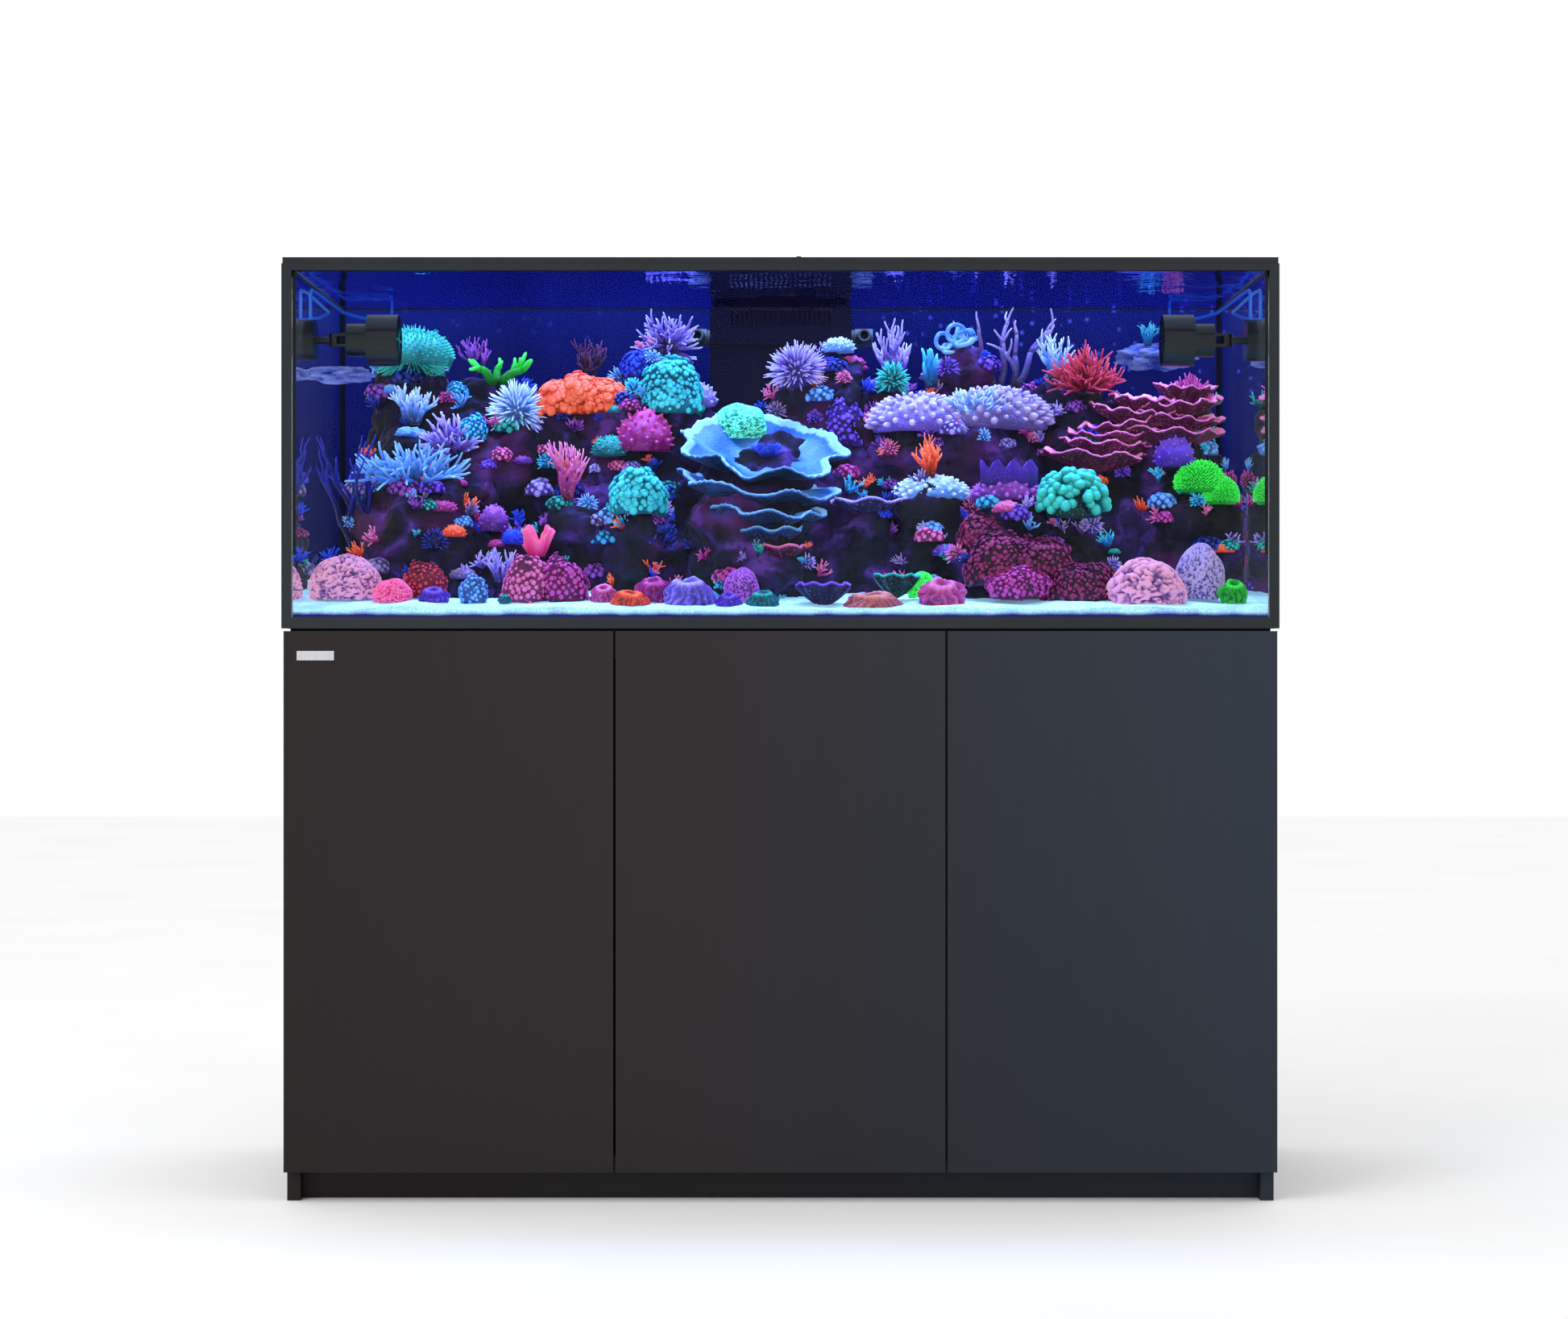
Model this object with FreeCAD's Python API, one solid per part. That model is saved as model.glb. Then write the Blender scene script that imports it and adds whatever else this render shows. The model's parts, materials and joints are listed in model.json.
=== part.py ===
import FreeCAD, Part
import math
import os

# Aquarium on a three-door cabinet stand. Millimetres. +X right, +Y to the back, +Z up.
# Origin: middle of the footprint, on the floor.

# ---- driving dimensions: overall ------------------------------------------------------
LENGTH = 1500.0            # over the tank frame
DEPTH = 600.0              # over the doors and the cabinet back
CABINET_HEIGHT = 860.0
TANK_HEIGHT = 558.0
MAT_THICKNESS = 4.0
CABLE_CHANNEL = 6.0        # room left behind the tank for the pump cables

# ---- cabinet --------------------------------------------------------------------------
DOOR_COUNT = 3
DOOR_THICKNESS = 19.0
DOOR_GAP = 3.6
DOOR_SIDE_INSET = 3.0      # door face in from the tank frame, each side
DOOR_FRONT_INSET = 2.0     # door face behind the tank frame
DOOR_BOTTOM = 46.0
BOARD = 19.0
SIDE_BOARD = 20.0
SIDE_INSET = 5.0           # side panels in from the tank frame
TOP_BOARD = 22.0
BACK_BOARD = 8.0
BACK_RECESS = 8.0
PLINTH_RECESS = 52.0
PLINTH_HEIGHT = 49.0
RAIL_WIDTH = 80.0
PORT_RADIUS = 30.0
PORT_DROP = 90.0           # cable port below the cabinet's top
PORT_INSET = 100.0         # cable port in from the end of the tank
MAT_INSET = 12.0

# ---- door hinges and latches ----------------------------------------------------------
HINGES_PER_DOOR = 3
HINGE_END = 90.0           # hinge centre from the door's end
HINGE_HALF = 20.0
PIVOT_IN = 7.0             # pivot in from the door's edge
PIVOT_DEEP = 12.5          # pivot in front of the door's back face
PIVOT_FRONT = 4.0          # slot in front of the pivot
DOOR_BACK_GAP = 3.0
FLANGE = 2.0
LEAF_NEAR = 13.0           # hinge leaf, from the door's edge
LEAF_FAR = 20.0
KNUCKLE_RADIUS = 3.5
KNUCKLE_HALF = 13.0
EAR = 6.0
PIN_RADIUS = 1.5
RUNNING_FIT = 0.1
LATCH_INSET = 32.0
LATCH_SIZE = 24.0
LATCH_LENGTH = 60.0
PLUNGER_RADIUS = 5.0
BADGE_LENGTH = 56.0
BADGE_HEIGHT = 14.0
BADGE_THICKNESS = 0.8
BADGE_IN = 20.0            # badge in from the door's edge, and below its top
BADGE_DOWN = 30.0
CLEAR = 0.3

# ---- tank -----------------------------------------------------------------------------
GLASS = 12.0
FRAME_WALL = 3.0
FRAME_LEDGE = 2.0
BOTTOM_FRAME_HEIGHT = 17.0
TOP_SKIRT = 10.0
TOP_CAP = 9.5
TOP_STEP = 1.5
TOP_LIP = 24.0
CORNER_SIZE = 15.0
TAB_X = 24.0               # small tab on the front rim, right of the middle
TAB_LENGTH = 7.0
TAB_DEPTH = 4.0
TAB_HEIGHT = 1.2
SEAM = 5.0
BOX_WIDTH = 220.0          # overflow box, inside
BOX_DEPTH = 113.0
BOX_WALL = 6.0
BOX_DROP = 27.0            # overflow rim below the tank rim
COMB_DEPTH = 30.0
COMB_PITCH = 8.0
COMB_SLOT = 4.0
COMB_THICKNESS = 4.0
SAND_FRONT = 15.0          # sand over the base pane at the front
SAND_BACK = 92.0
REEF_HALF_LENGTH = 735.0   # inside of the tank that the reef is laid out for
REEF_DEPTH = 564.0
REEF_HEIGHT = 534.5
SHELF_INSET = 45.0         # right frag shelf in from the side pane
SHELF_LENGTH = 130.0

# ---- plumbing -------------------------------------------------------------------------
PIPE_RADIUS = 16.0
PIPE_WALL = 3.0
PIPE_PITCH = 70.0
PIPE_BACK = 64.0           # pipe centres in front of the tank's back pane
BULKHEAD_RADIUS = 22.0
BULKHEAD_FLANGE = 32.0
BULKHEAD_TAIL = 45.0
BULKHEAD_RIM = 8.0
BULKHEAD_NUT = 14.0
PIPE_SEAT = 4.0            # pipe end in from the middle of a bulkhead
DRAIN_STAND = 420.0        # standpipe tops over the base pane
EMERGENCY_STAND = 450.0
RETURN_STAND = 472.0
MANIFOLD_RADIUS = 13.0
NOZZLE_RADIUS = 15.0
NOZZLE_LENGTH = 55.0
VALVE_DROP = 190.0         # gate valve centre below the tank base
VALVE_HALF = 34.0          # half height of the valve body
VALVE_RADIUS = 24.0
BONNET_RADIUS = 18.0
BONNET_LENGTH = 52.0
STEM_RADIUS = 4.0
STEM_REACH = 70.0          # stem end in front of the pipe
OUTLET_DEPTH = 40.0        # pipe ends below the filter tray
WHEEL_RADIUS = 26.0
WHEEL_WIRE = 4.0
WHEEL_REACH = 82.0         # wheel front in front of the pipe
HUB_RADIUS = 9.0
HUB_LENGTH = 11.0
SPOKE_WIDTH = 6.0
NOZZLE_BARREL = 30.0

# ---- sump -----------------------------------------------------------------------------
SUMP_LENGTH = 800.0
SUMP_DEPTH = 430.0
SUMP_HEIGHT = 380.0
SUMP_GLASS = 8.0
SUMP_RIGHT = 160.0         # right end of the sump
SUMP_BACK_GAP = 22.0
DRAIN_CHAMBER = 286.0
PUMP_CHAMBER = 190.0
BAFFLE_HEIGHT = 280.0
TRAY_HEIGHT = 330.0
CUP_RADIUS = 50.0
CUP_WALL = 2.0
CUP_LENGTH = 200.0
CUP_RIM = 56.0
CUP_RIM_HEIGHT = 4.0
BUBBLE_TRAP = 32.0         # between the baffles of the trap
TRAY_LEDGE = 10.0
TRAY_LEDGE_DEPTH = 12.0
RETURN_LENGTH = 110.0      # return pump
RETURN_WIDTH = 72.0
RETURN_HEIGHT = 82.0
RETURN_FOOT = 8.0
INTAKE_RADIUS = 24.0
INTAKE_LENGTH = 24.0
HOSE_RADIUS = 12.5

# ---- wave pumps -----------------------------------------------------------------------
PUMP_BACK = 150.0          # pump axis behind the tank's front
PUMP_DROP = 111.0          # pump axis below the tank rim
CAGE_RADIUS = 40.0
CAGE_LENGTH = 44.0
MOTOR_RADIUS = 26.0
MOUNT_RADIUS = 32.0
CABLE_RADIUS = 2.5
CONTROLLER_THICKNESS = 40.0
CONTROLLER_WIDTH = 100.0
CONTROLLER_HEIGHT = 120.0
CONTROLLER_Y = 60.0        # front of the controller

# ---- places worked out from the sizes above -------------------------------------------
HALF = LENGTH / 2
FRONT = -DEPTH / 2
BACK = DEPTH / 2
TANK_BACK = BACK - CABLE_CHANNEL
TANK_BASE = CABINET_HEIGHT + MAT_THICKNESS
TANK_TOP = TANK_BASE + TANK_HEIGHT
PANE_BOTTOM = TANK_BASE + FRAME_LEDGE
FLOOR_TOP = PANE_BOTTOM + GLASS
PANE_TOP = TANK_TOP - TOP_CAP
OUTER_X = HALF - FRAME_WALL
INNER_X = OUTER_X - GLASS
PANE_FRONT = FRONT + FRAME_WALL
PANE_BACK = TANK_BACK - FRAME_WALL
INNER_FRONT = PANE_FRONT + GLASS
INNER_BACK = PANE_BACK - GLASS
DOOR_FACE = FRONT + DOOR_FRONT_INSET
DOOR_REAR = DOOR_FACE + DOOR_THICKNESS
DOOR_HALF = HALF - DOOR_SIDE_INSET
DOOR_WIDTH = (2 * DOOR_HALF - (DOOR_COUNT - 1) * DOOR_GAP) / DOOR_COUNT
CARCASS_FRONT = DOOR_REAR + DOOR_BACK_GAP + FLANGE
SIDE_OUT = HALF - SIDE_INSET
SIDE_IN = SIDE_OUT - SIDE_BOARD
TOP_UNDER = CABINET_HEIGHT - TOP_BOARD
PORT_HEIGHT = CABINET_HEIGHT - PORT_DROP
BACK_REAR = BACK - BACK_RECESS
BACK_FACE = BACK_REAR - BACK_BOARD
DECK = PLINTH_HEIGHT + BOARD
PARTITION_X = DOOR_HALF - DOOR_WIDTH - DOOR_GAP / 2
PARTITION_LEFT = PARTITION_X - BOARD / 2
PARTITION_RIGHT = PARTITION_X + BOARD / 2
PIVOT_Y = DOOR_REAR - PIVOT_DEEP
BOX_IN_X = BOX_WIDTH / 2
BOX_OUT_X = BOX_IN_X + BOX_WALL
BOX_IN_Y = INNER_BACK - BOX_DEPTH
BOX_OUT_Y = BOX_IN_Y - BOX_WALL
BOX_TOP = TANK_TOP - BOX_DROP
PIPE_Y = INNER_BACK - PIPE_BACK
MANIFOLD_Z = FLOOR_TOP + RETURN_STAND
SUMP_LEFT = SUMP_RIGHT - SUMP_LENGTH
SUMP_REAR = BACK_FACE - SUMP_BACK_GAP
SUMP_FRONT = SUMP_REAR - SUMP_DEPTH
SUMP_FLOOR = DECK + SUMP_GLASS
TRAY_Z = SUMP_FLOOR + TRAY_HEIGHT
CUP_Y = SUMP_REAR - SUMP_GLASS - CUP_RIM - CLEAR * 10
PUMP_Y = FRONT + PUMP_BACK
PUMP_Z = TANK_TOP - PUMP_DROP
RETURN_X = SUMP_LEFT + SUMP_GLASS + PUMP_CHAMBER / 2
RETURN_Y = SUMP_FRONT + SUMP_DEPTH / 2

X_AXIS = FreeCAD.Vector(1, 0, 0)
Y_AXIS = FreeCAD.Vector(0, 1, 0)
Z_AXIS = FreeCAD.Vector(0, 0, 1)


def vec(x, y, z):
    return FreeCAD.Vector(x, y, z)


def box(x0, x1, y0, y1, z0, z1):
    corner = vec(min(x0, x1), min(y0, y1), min(z0, z1))
    return Part.makeBox(abs(x1 - x0), abs(y1 - y0), abs(z1 - z0), corner)


def rod(radius, start, length, axis):
    return Part.makeCylinder(radius, length, start, axis)


def pipe(outer, inner, start, length, axis):
    return rod(outer, start, length, axis).cut(rod(inner, start, length, axis))


def fuse(shapes):
    return shapes[0].multiFuse(shapes[1:]).removeSplitter() if len(shapes) > 1 else shapes[0]


def save(node, shapes):
    """One node: a list of separate solids, or one solid."""
    pieces = shapes if isinstance(shapes, list) else [shapes]
    solids = [solid for piece in pieces for solid in piece.Solids]
    shape = solids[0] if len(solids) == 1 else Part.makeCompound(solids)
    shape.exportStep("parts/" + node + ".step")


def rounded_route(points, fraction=0.45):
    """A wire of straight runs joined by tangent arcs."""
    edges = []
    start = points[0]
    for before, corner, after in zip(points, points[1:], points[2:]):
        run_in = (before - corner)
        run_out = (after - corner)
        turn = math.pi - run_in.getAngle(run_out)
        setback = fraction * min(run_in.Length, run_out.Length)
        run_in.normalize()
        run_out.normalize()
        radius = setback / math.tan(turn / 2)
        enter = corner + run_in * setback
        leave = corner + run_out * setback
        inward = (run_in + run_out).normalize()
        middle = corner + inward * (radius / math.cos(turn / 2) - radius)
        edges.append(Part.LineSegment(start, enter).toShape())
        edges.append(Part.Arc(enter, middle, leave).toShape())
        start = leave
    edges.append(Part.LineSegment(start, points[-1]).toShape())
    return Part.Wire(edges)


def tube(points, radius, bore=0.0, fraction=0.45):
    wire = rounded_route(points, fraction)
    along = points[1] - points[0]
    ring = Part.Wire([Part.makeCircle(radius, points[0], along)])
    solid = wire.makePipeShell([ring], True, False)
    if bore > 0:
        hole = Part.Wire([Part.makeCircle(bore, points[0], along)])
        solid = solid.cut(wire.makePipeShell([hole], True, False))
    return solid


# ---- cabinet ----------------------------------------------------------------------------
def make_cabinet():
    for side, name in ((-1, "left"), (1, "right")):
        panel = box(side * SIDE_OUT, side * SIDE_IN, CARCASS_FRONT, BACK, 0, TOP_UNDER)
        save("cabinet_" + name + "_side", panel)
    save("cabinet_partition", box(PARTITION_LEFT, PARTITION_RIGHT, CARCASS_FRONT, BACK_FACE, DECK, TOP_UNDER))
    save("cabinet_bottom", box(-SIDE_IN, SIDE_IN, CARCASS_FRONT, BACK_FACE, PLINTH_HEIGHT, DECK))
    plinth_face = DOOR_FACE + PLINTH_RECESS
    save("plinth_board", box(-SIDE_IN, SIDE_IN, plinth_face, plinth_face + BOARD, 0, PLINTH_HEIGHT))

    service = box(-BOX_IN_X, BOX_IN_X, BOX_IN_Y, BACK_FACE, TOP_UNDER, TANK_BASE)
    top = box(-SIDE_OUT, SIDE_OUT, CARCASS_FRONT, BACK, TOP_UNDER, CABINET_HEIGHT).cut(service)
    back = box(-SIDE_IN, SIDE_IN, BACK_FACE, BACK_REAR, PLINTH_HEIGHT, TOP_UNDER)
    for side in (-1, 1):
        port_x = side * (HALF - PORT_INSET)
        top = top.cut(box(port_x - PORT_RADIUS, port_x + PORT_RADIUS, BACK_REAR, BACK, TOP_UNDER, CABINET_HEIGHT))
        back = back.cut(rod(PORT_RADIUS, vec(port_x, BACK_FACE, PORT_HEIGHT), BACK_BOARD, Y_AXIS))
    save("cabinet_top", top)
    save("cabinet_back", back)

    rail_z = TOP_UNDER - BOARD
    left_rail = box(-SIDE_IN, PARTITION_LEFT, CARCASS_FRONT, CARCASS_FRONT + RAIL_WIDTH, rail_z, TOP_UNDER)
    right_rail = box(PARTITION_RIGHT, SIDE_IN, CARCASS_FRONT, CARCASS_FRONT + RAIL_WIDTH, rail_z, TOP_UNDER)
    save("cabinet_front_rails", [left_rail, right_rail])

    mat = box(-HALF + MAT_INSET, HALF - MAT_INSET, FRONT + MAT_INSET, TANK_BACK - MAT_INSET,
              CABINET_HEIGHT, TANK_BASE)
    save("levelling_mat", mat.cut(service))


def hinge_heights():
    low = DOOR_BOTTOM + HINGE_END
    high = CABINET_HEIGHT - HINGE_END
    step = (high - low) / (HINGES_PER_DOOR - 1)
    return [low + index * step for index in range(HINGES_PER_DOOR)]


def hinge_arm(edge, inward, panel_low, panel_high, z):
    """Fixed arm: flange on the panel's front edge, blade and knuckle reaching into the door."""
    pivot_x = edge + inward * PIVOT_IN
    blade = KNUCKLE_RADIUS / 2
    flange = box(panel_low, panel_high, CARCASS_FRONT - FLANGE, CARCASS_FRONT, z - HINGE_HALF, z + HINGE_HALF)
    arm = box(pivot_x - blade, pivot_x + blade, PIVOT_Y, CARCASS_FRONT - FLANGE,
              z - KNUCKLE_HALF, z + KNUCKLE_HALF)
    foot = vec(pivot_x, PIVOT_Y, z - KNUCKLE_HALF)
    knuckle = rod(KNUCKLE_RADIUS, foot, 2 * KNUCKLE_HALF, Z_AXIS)
    bore = rod(PIN_RADIUS + RUNNING_FIT, foot, 2 * KNUCKLE_HALF, Z_AXIS)
    return fuse([flange, arm, knuckle]).cut(bore)


def hinge_leaf(edge, inward, z):
    """Leaf let into the door: plate, two ears and the pin between them."""
    pivot_x = edge + inward * PIVOT_IN
    front = PIVOT_Y - PIVOT_FRONT
    pieces = [box(edge + inward * LEAF_NEAR, edge + inward * LEAF_FAR, front, DOOR_REAR,
                  z - HINGE_HALF, z + HINGE_HALF)]
    for low in (z - HINGE_HALF, z + HINGE_HALF - EAR):
        pieces.append(rod(KNUCKLE_RADIUS, vec(pivot_x, PIVOT_Y, low), EAR, Z_AXIS))
        pieces.append(box(pivot_x, edge + inward * LEAF_NEAR, PIVOT_Y - KNUCKLE_RADIUS,
                          PIVOT_Y + KNUCKLE_RADIUS, low, low + EAR))
    pieces.append(rod(PIN_RADIUS, vec(pivot_x, PIVOT_Y, z - HINGE_HALF), 2 * HINGE_HALF, Z_AXIS))
    return fuse(pieces)


def make_doors():
    # name, hinged edge (-1 left, 1 right), and the board edge that carries the hinges
    doors = (("left", -1, -SIDE_OUT, -SIDE_IN), ("middle", 1, PARTITION_LEFT, PARTITION_RIGHT),
             ("right", 1, SIDE_IN, SIDE_OUT))
    arms = []
    latches = []
    for index, (name, hinged, panel_low, panel_high) in enumerate(doors):
        low = -DOOR_HALF + index * (DOOR_WIDTH + DOOR_GAP)
        high = low + DOOR_WIDTH
        edge, free = (low, high) if hinged < 0 else (high, low)
        door = box(low, high, DOOR_FACE, DOOR_REAR, DOOR_BOTTOM, CABINET_HEIGHT)
        leaves = []
        for z in hinge_heights():
            slot = box(edge, edge - hinged * LEAF_FAR, PIVOT_Y - PIVOT_FRONT, DOOR_REAR,
                       z - HINGE_HALF, z + HINGE_HALF)
            door = door.cut(slot)
            leaves.append(hinge_leaf(edge, -hinged, z))
            arms.append(hinge_arm(edge, -hinged, panel_low, panel_high, z))
        save(name + "_door", door)
        save(name + "_door_hinge_leaves", leaves)

        latch_x = free + hinged * LATCH_INSET
        latch_z = TOP_UNDER - BOARD - LATCH_SIZE / 2
        half = LATCH_SIZE / 2
        body = box(latch_x - half, latch_x + half, CARCASS_FRONT, CARCASS_FRONT + LATCH_LENGTH,
                   latch_z - half, latch_z + half)
        bore = rod(PLUNGER_RADIUS + RUNNING_FIT, vec(latch_x, CARCASS_FRONT, latch_z), LATCH_LENGTH - half, Y_AXIS)
        latches.append(body.cut(bore))
        tip = vec(latch_x, DOOR_REAR + CLEAR, latch_z)
        save(name + "_latch_plunger", rod(PLUNGER_RADIUS, tip, LATCH_LENGTH - half, Y_AXIS))
    save("door_hinge_arms", arms)
    save("latch_bodies", latches)

    badge_x = -DOOR_HALF + BADGE_IN
    badge_z = CABINET_HEIGHT - BADGE_DOWN
    save("door_badge", box(badge_x, badge_x + BADGE_LENGTH, DOOR_FACE - BADGE_THICKNESS, DOOR_FACE,
                           badge_z - BADGE_HEIGHT, badge_z))


# ---- tank -------------------------------------------------------------------------------
def make_glass():
    holes = [rod(BULKHEAD_RADIUS + CLEAR, vec(x, PIPE_Y, PANE_BOTTOM), GLASS, Z_AXIS) for x in pipe_places()]
    base = box(-OUTER_X, OUTER_X, PANE_FRONT, PANE_BACK, PANE_BOTTOM, FLOOR_TOP)
    save("base_pane", base.cut(Part.makeCompound(holes)))
    save("front_pane", box(-OUTER_X, OUTER_X, PANE_FRONT, INNER_FRONT, FLOOR_TOP, PANE_TOP))
    save("back_pane", box(-OUTER_X, OUTER_X, INNER_BACK, PANE_BACK, FLOOR_TOP, PANE_TOP))
    save("left_pane", box(-OUTER_X, -INNER_X, INNER_FRONT, INNER_BACK, FLOOR_TOP, PANE_TOP))
    save("right_pane", box(INNER_X, OUTER_X, INNER_FRONT, INNER_BACK, FLOOR_TOP, PANE_TOP))
    seams = []
    top = PANE_TOP - TOP_SKIRT - CLEAR
    low = FLOOR_TOP + SAND_BACK + SEAM
    for x in (-INNER_X, INNER_X):
        for y in (INNER_FRONT, INNER_BACK):
            step_x = -SEAM if x > 0 else SEAM
            step_y = SEAM if y < 0 else -SEAM
            outline = [vec(x, y, low), vec(x + step_x, y, low), vec(x, y + step_y, low), vec(x, y, low)]
            seams.append(Part.Face(Part.makePolygon(outline)).extrude(vec(0, 0, top - low)))
    save("silicone_seams", seams)


def ring(outset, wall, z0, z1):
    """A rectangular ring around the tank; outset is measured inwards from the frame's outside."""
    outer = box(-HALF + outset, HALF - outset, FRONT + outset, TANK_BACK - outset, z0, z1)
    edge = outset + wall
    return outer.cut(box(-HALF + edge, HALF - edge, FRONT + edge, TANK_BACK - edge, z0, z1))


def make_frames():
    ledge = ring(0, TOP_LIP, TANK_BASE, PANE_BOTTOM)
    wall = ring(0, FRAME_WALL, PANE_BOTTOM, TANK_BASE + BOTTOM_FRAME_HEIGHT)
    save("bottom_frame", fuse([ledge, wall]))

    skirt_low = PANE_TOP - TOP_SKIRT
    inner_wall = FRAME_WALL + GLASS + CLEAR
    top = fuse([ring(0, FRAME_WALL, skirt_low, PANE_TOP),
                ring(TOP_STEP, TOP_LIP - TOP_STEP, PANE_TOP, TANK_TOP),
                ring(inner_wall, FRAME_WALL, skirt_low, PANE_TOP)])
    for side in (-1, 1):
        notch_x = side * (HALF - PORT_INSET)
        gap = CABLE_RADIUS + CLEAR
        top = top.cut(box(notch_x - gap, notch_x + gap, INNER_BACK - TOP_LIP, TANK_BACK, PANE_TOP, TANK_TOP))
        top = top.cut(box(notch_x - gap, notch_x + gap, PANE_BACK, TANK_BACK, skirt_low, PANE_TOP))
    tab = box(TAB_X, TAB_X + TAB_LENGTH, FRONT + TOP_STEP, FRONT + TOP_STEP + TAB_DEPTH,
              TANK_TOP, TANK_TOP + TAB_HEIGHT)
    corner_cut = []
    for x in (-HALF, HALF - CORNER_SIZE):
        for y in (FRONT, TANK_BACK - CORNER_SIZE):
            corner_cut.append(box(x, x + CORNER_SIZE, y, y + CORNER_SIZE, skirt_low, TANK_TOP))
    corners = Part.makeCompound(corner_cut)
    rails = top.cut(corners)
    save("top_frame_rails", fuse([rails, tab]))
    save("top_frame_corners", top.common(corners))

    trims = []
    low = TANK_BASE + BOTTOM_FRAME_HEIGHT
    for side in (-1, 1):
        for y, wall_y in ((FRONT, FRAME_WALL), (TANK_BACK, -FRAME_WALL)):
            depth = CORNER_SIZE if y < 0 else -CORNER_SIZE
            face = box(side * HALF, side * (HALF - CORNER_SIZE), y, y + wall_y, low, skirt_low)
            flank = box(side * HALF, side * OUTER_X, y, y + depth, low, skirt_low)
            trims.append(fuse([face, flank]))
    save("corner_uprights", trims)


def make_overflow():
    inner = box(-BOX_IN_X, BOX_IN_X, BOX_IN_Y, INNER_BACK, FLOOR_TOP, BOX_TOP)
    walls = box(-BOX_OUT_X, BOX_OUT_X, BOX_OUT_Y, INNER_BACK, FLOOR_TOP, BOX_TOP).cut(inner)
    weir = box(-BOX_IN_X + GLASS, BOX_IN_X - GLASS, BOX_OUT_Y, BOX_IN_Y, BOX_TOP - COMB_DEPTH, BOX_TOP)
    way_out = rod(MANIFOLD_RADIUS + CLEAR, vec(-BOX_OUT_X, PIPE_Y, MANIFOLD_Z), 2 * BOX_OUT_X, X_AXIS)
    save("overflow_box", walls.cut(weir).cut(way_out))

    face = BOX_OUT_Y - CLEAR
    comb = box(-BOX_OUT_X, BOX_OUT_X, face - COMB_THICKNESS, face, BOX_TOP - 2 * COMB_DEPTH, BOX_TOP)
    slot_count = int((2 * BOX_IN_X - 4 * GLASS) / COMB_PITCH)
    first = -(slot_count - 1) * COMB_PITCH / 2
    for index in range(slot_count):
        x = first + index * COMB_PITCH
        comb = comb.cut(box(x - COMB_SLOT / 2, x + COMB_SLOT / 2, face - COMB_THICKNESS, face,
                            BOX_TOP - COMB_DEPTH, BOX_TOP - COMB_SLOT))
    save("overflow_comb", comb)


def make_sand():
    outline = [vec(-INNER_X, INNER_FRONT, FLOOR_TOP), vec(-INNER_X, INNER_BACK, FLOOR_TOP),
               vec(-INNER_X, INNER_BACK, FLOOR_TOP + SAND_BACK), vec(-INNER_X, INNER_FRONT, FLOOR_TOP + SAND_FRONT),
               vec(-INNER_X, INNER_FRONT, FLOOR_TOP)]
    sand = Part.Face(Part.makePolygon(outline)).extrude(vec(2 * INNER_X, 0, 0))
    sand = sand.cut(box(-BOX_OUT_X, BOX_OUT_X, BOX_OUT_Y, INNER_BACK, FLOOR_TOP, TANK_TOP))
    save("sand_bed", sand)
    return sand


# ---- plumbing ---------------------------------------------------------------------------
def pipe_places():
    return [-PIPE_PITCH, 0.0, PIPE_PITCH]


def make_bulkheads():
    pieces = []
    barrel = BULKHEAD_TAIL + GLASS
    for x in pipe_places():
        foot = vec(x, PIPE_Y, PANE_BOTTOM - BULKHEAD_TAIL)
        body = fuse([rod(BULKHEAD_RADIUS, foot, barrel, Z_AXIS),
                     rod(BULKHEAD_FLANGE, vec(x, PIPE_Y, FLOOR_TOP), BULKHEAD_RIM, Z_AXIS)])
        pieces.append(body.cut(rod(PIPE_RADIUS + RUNNING_FIT, foot, barrel + BULKHEAD_RIM, Z_AXIS)))
        nut = vec(x, PIPE_Y, PANE_BOTTOM - BULKHEAD_NUT)
        pieces.append(pipe(BULKHEAD_FLANGE, BULKHEAD_RADIUS + RUNNING_FIT, nut, BULKHEAD_NUT, Z_AXIS))
    save("bulkheads", pieces)


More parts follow.
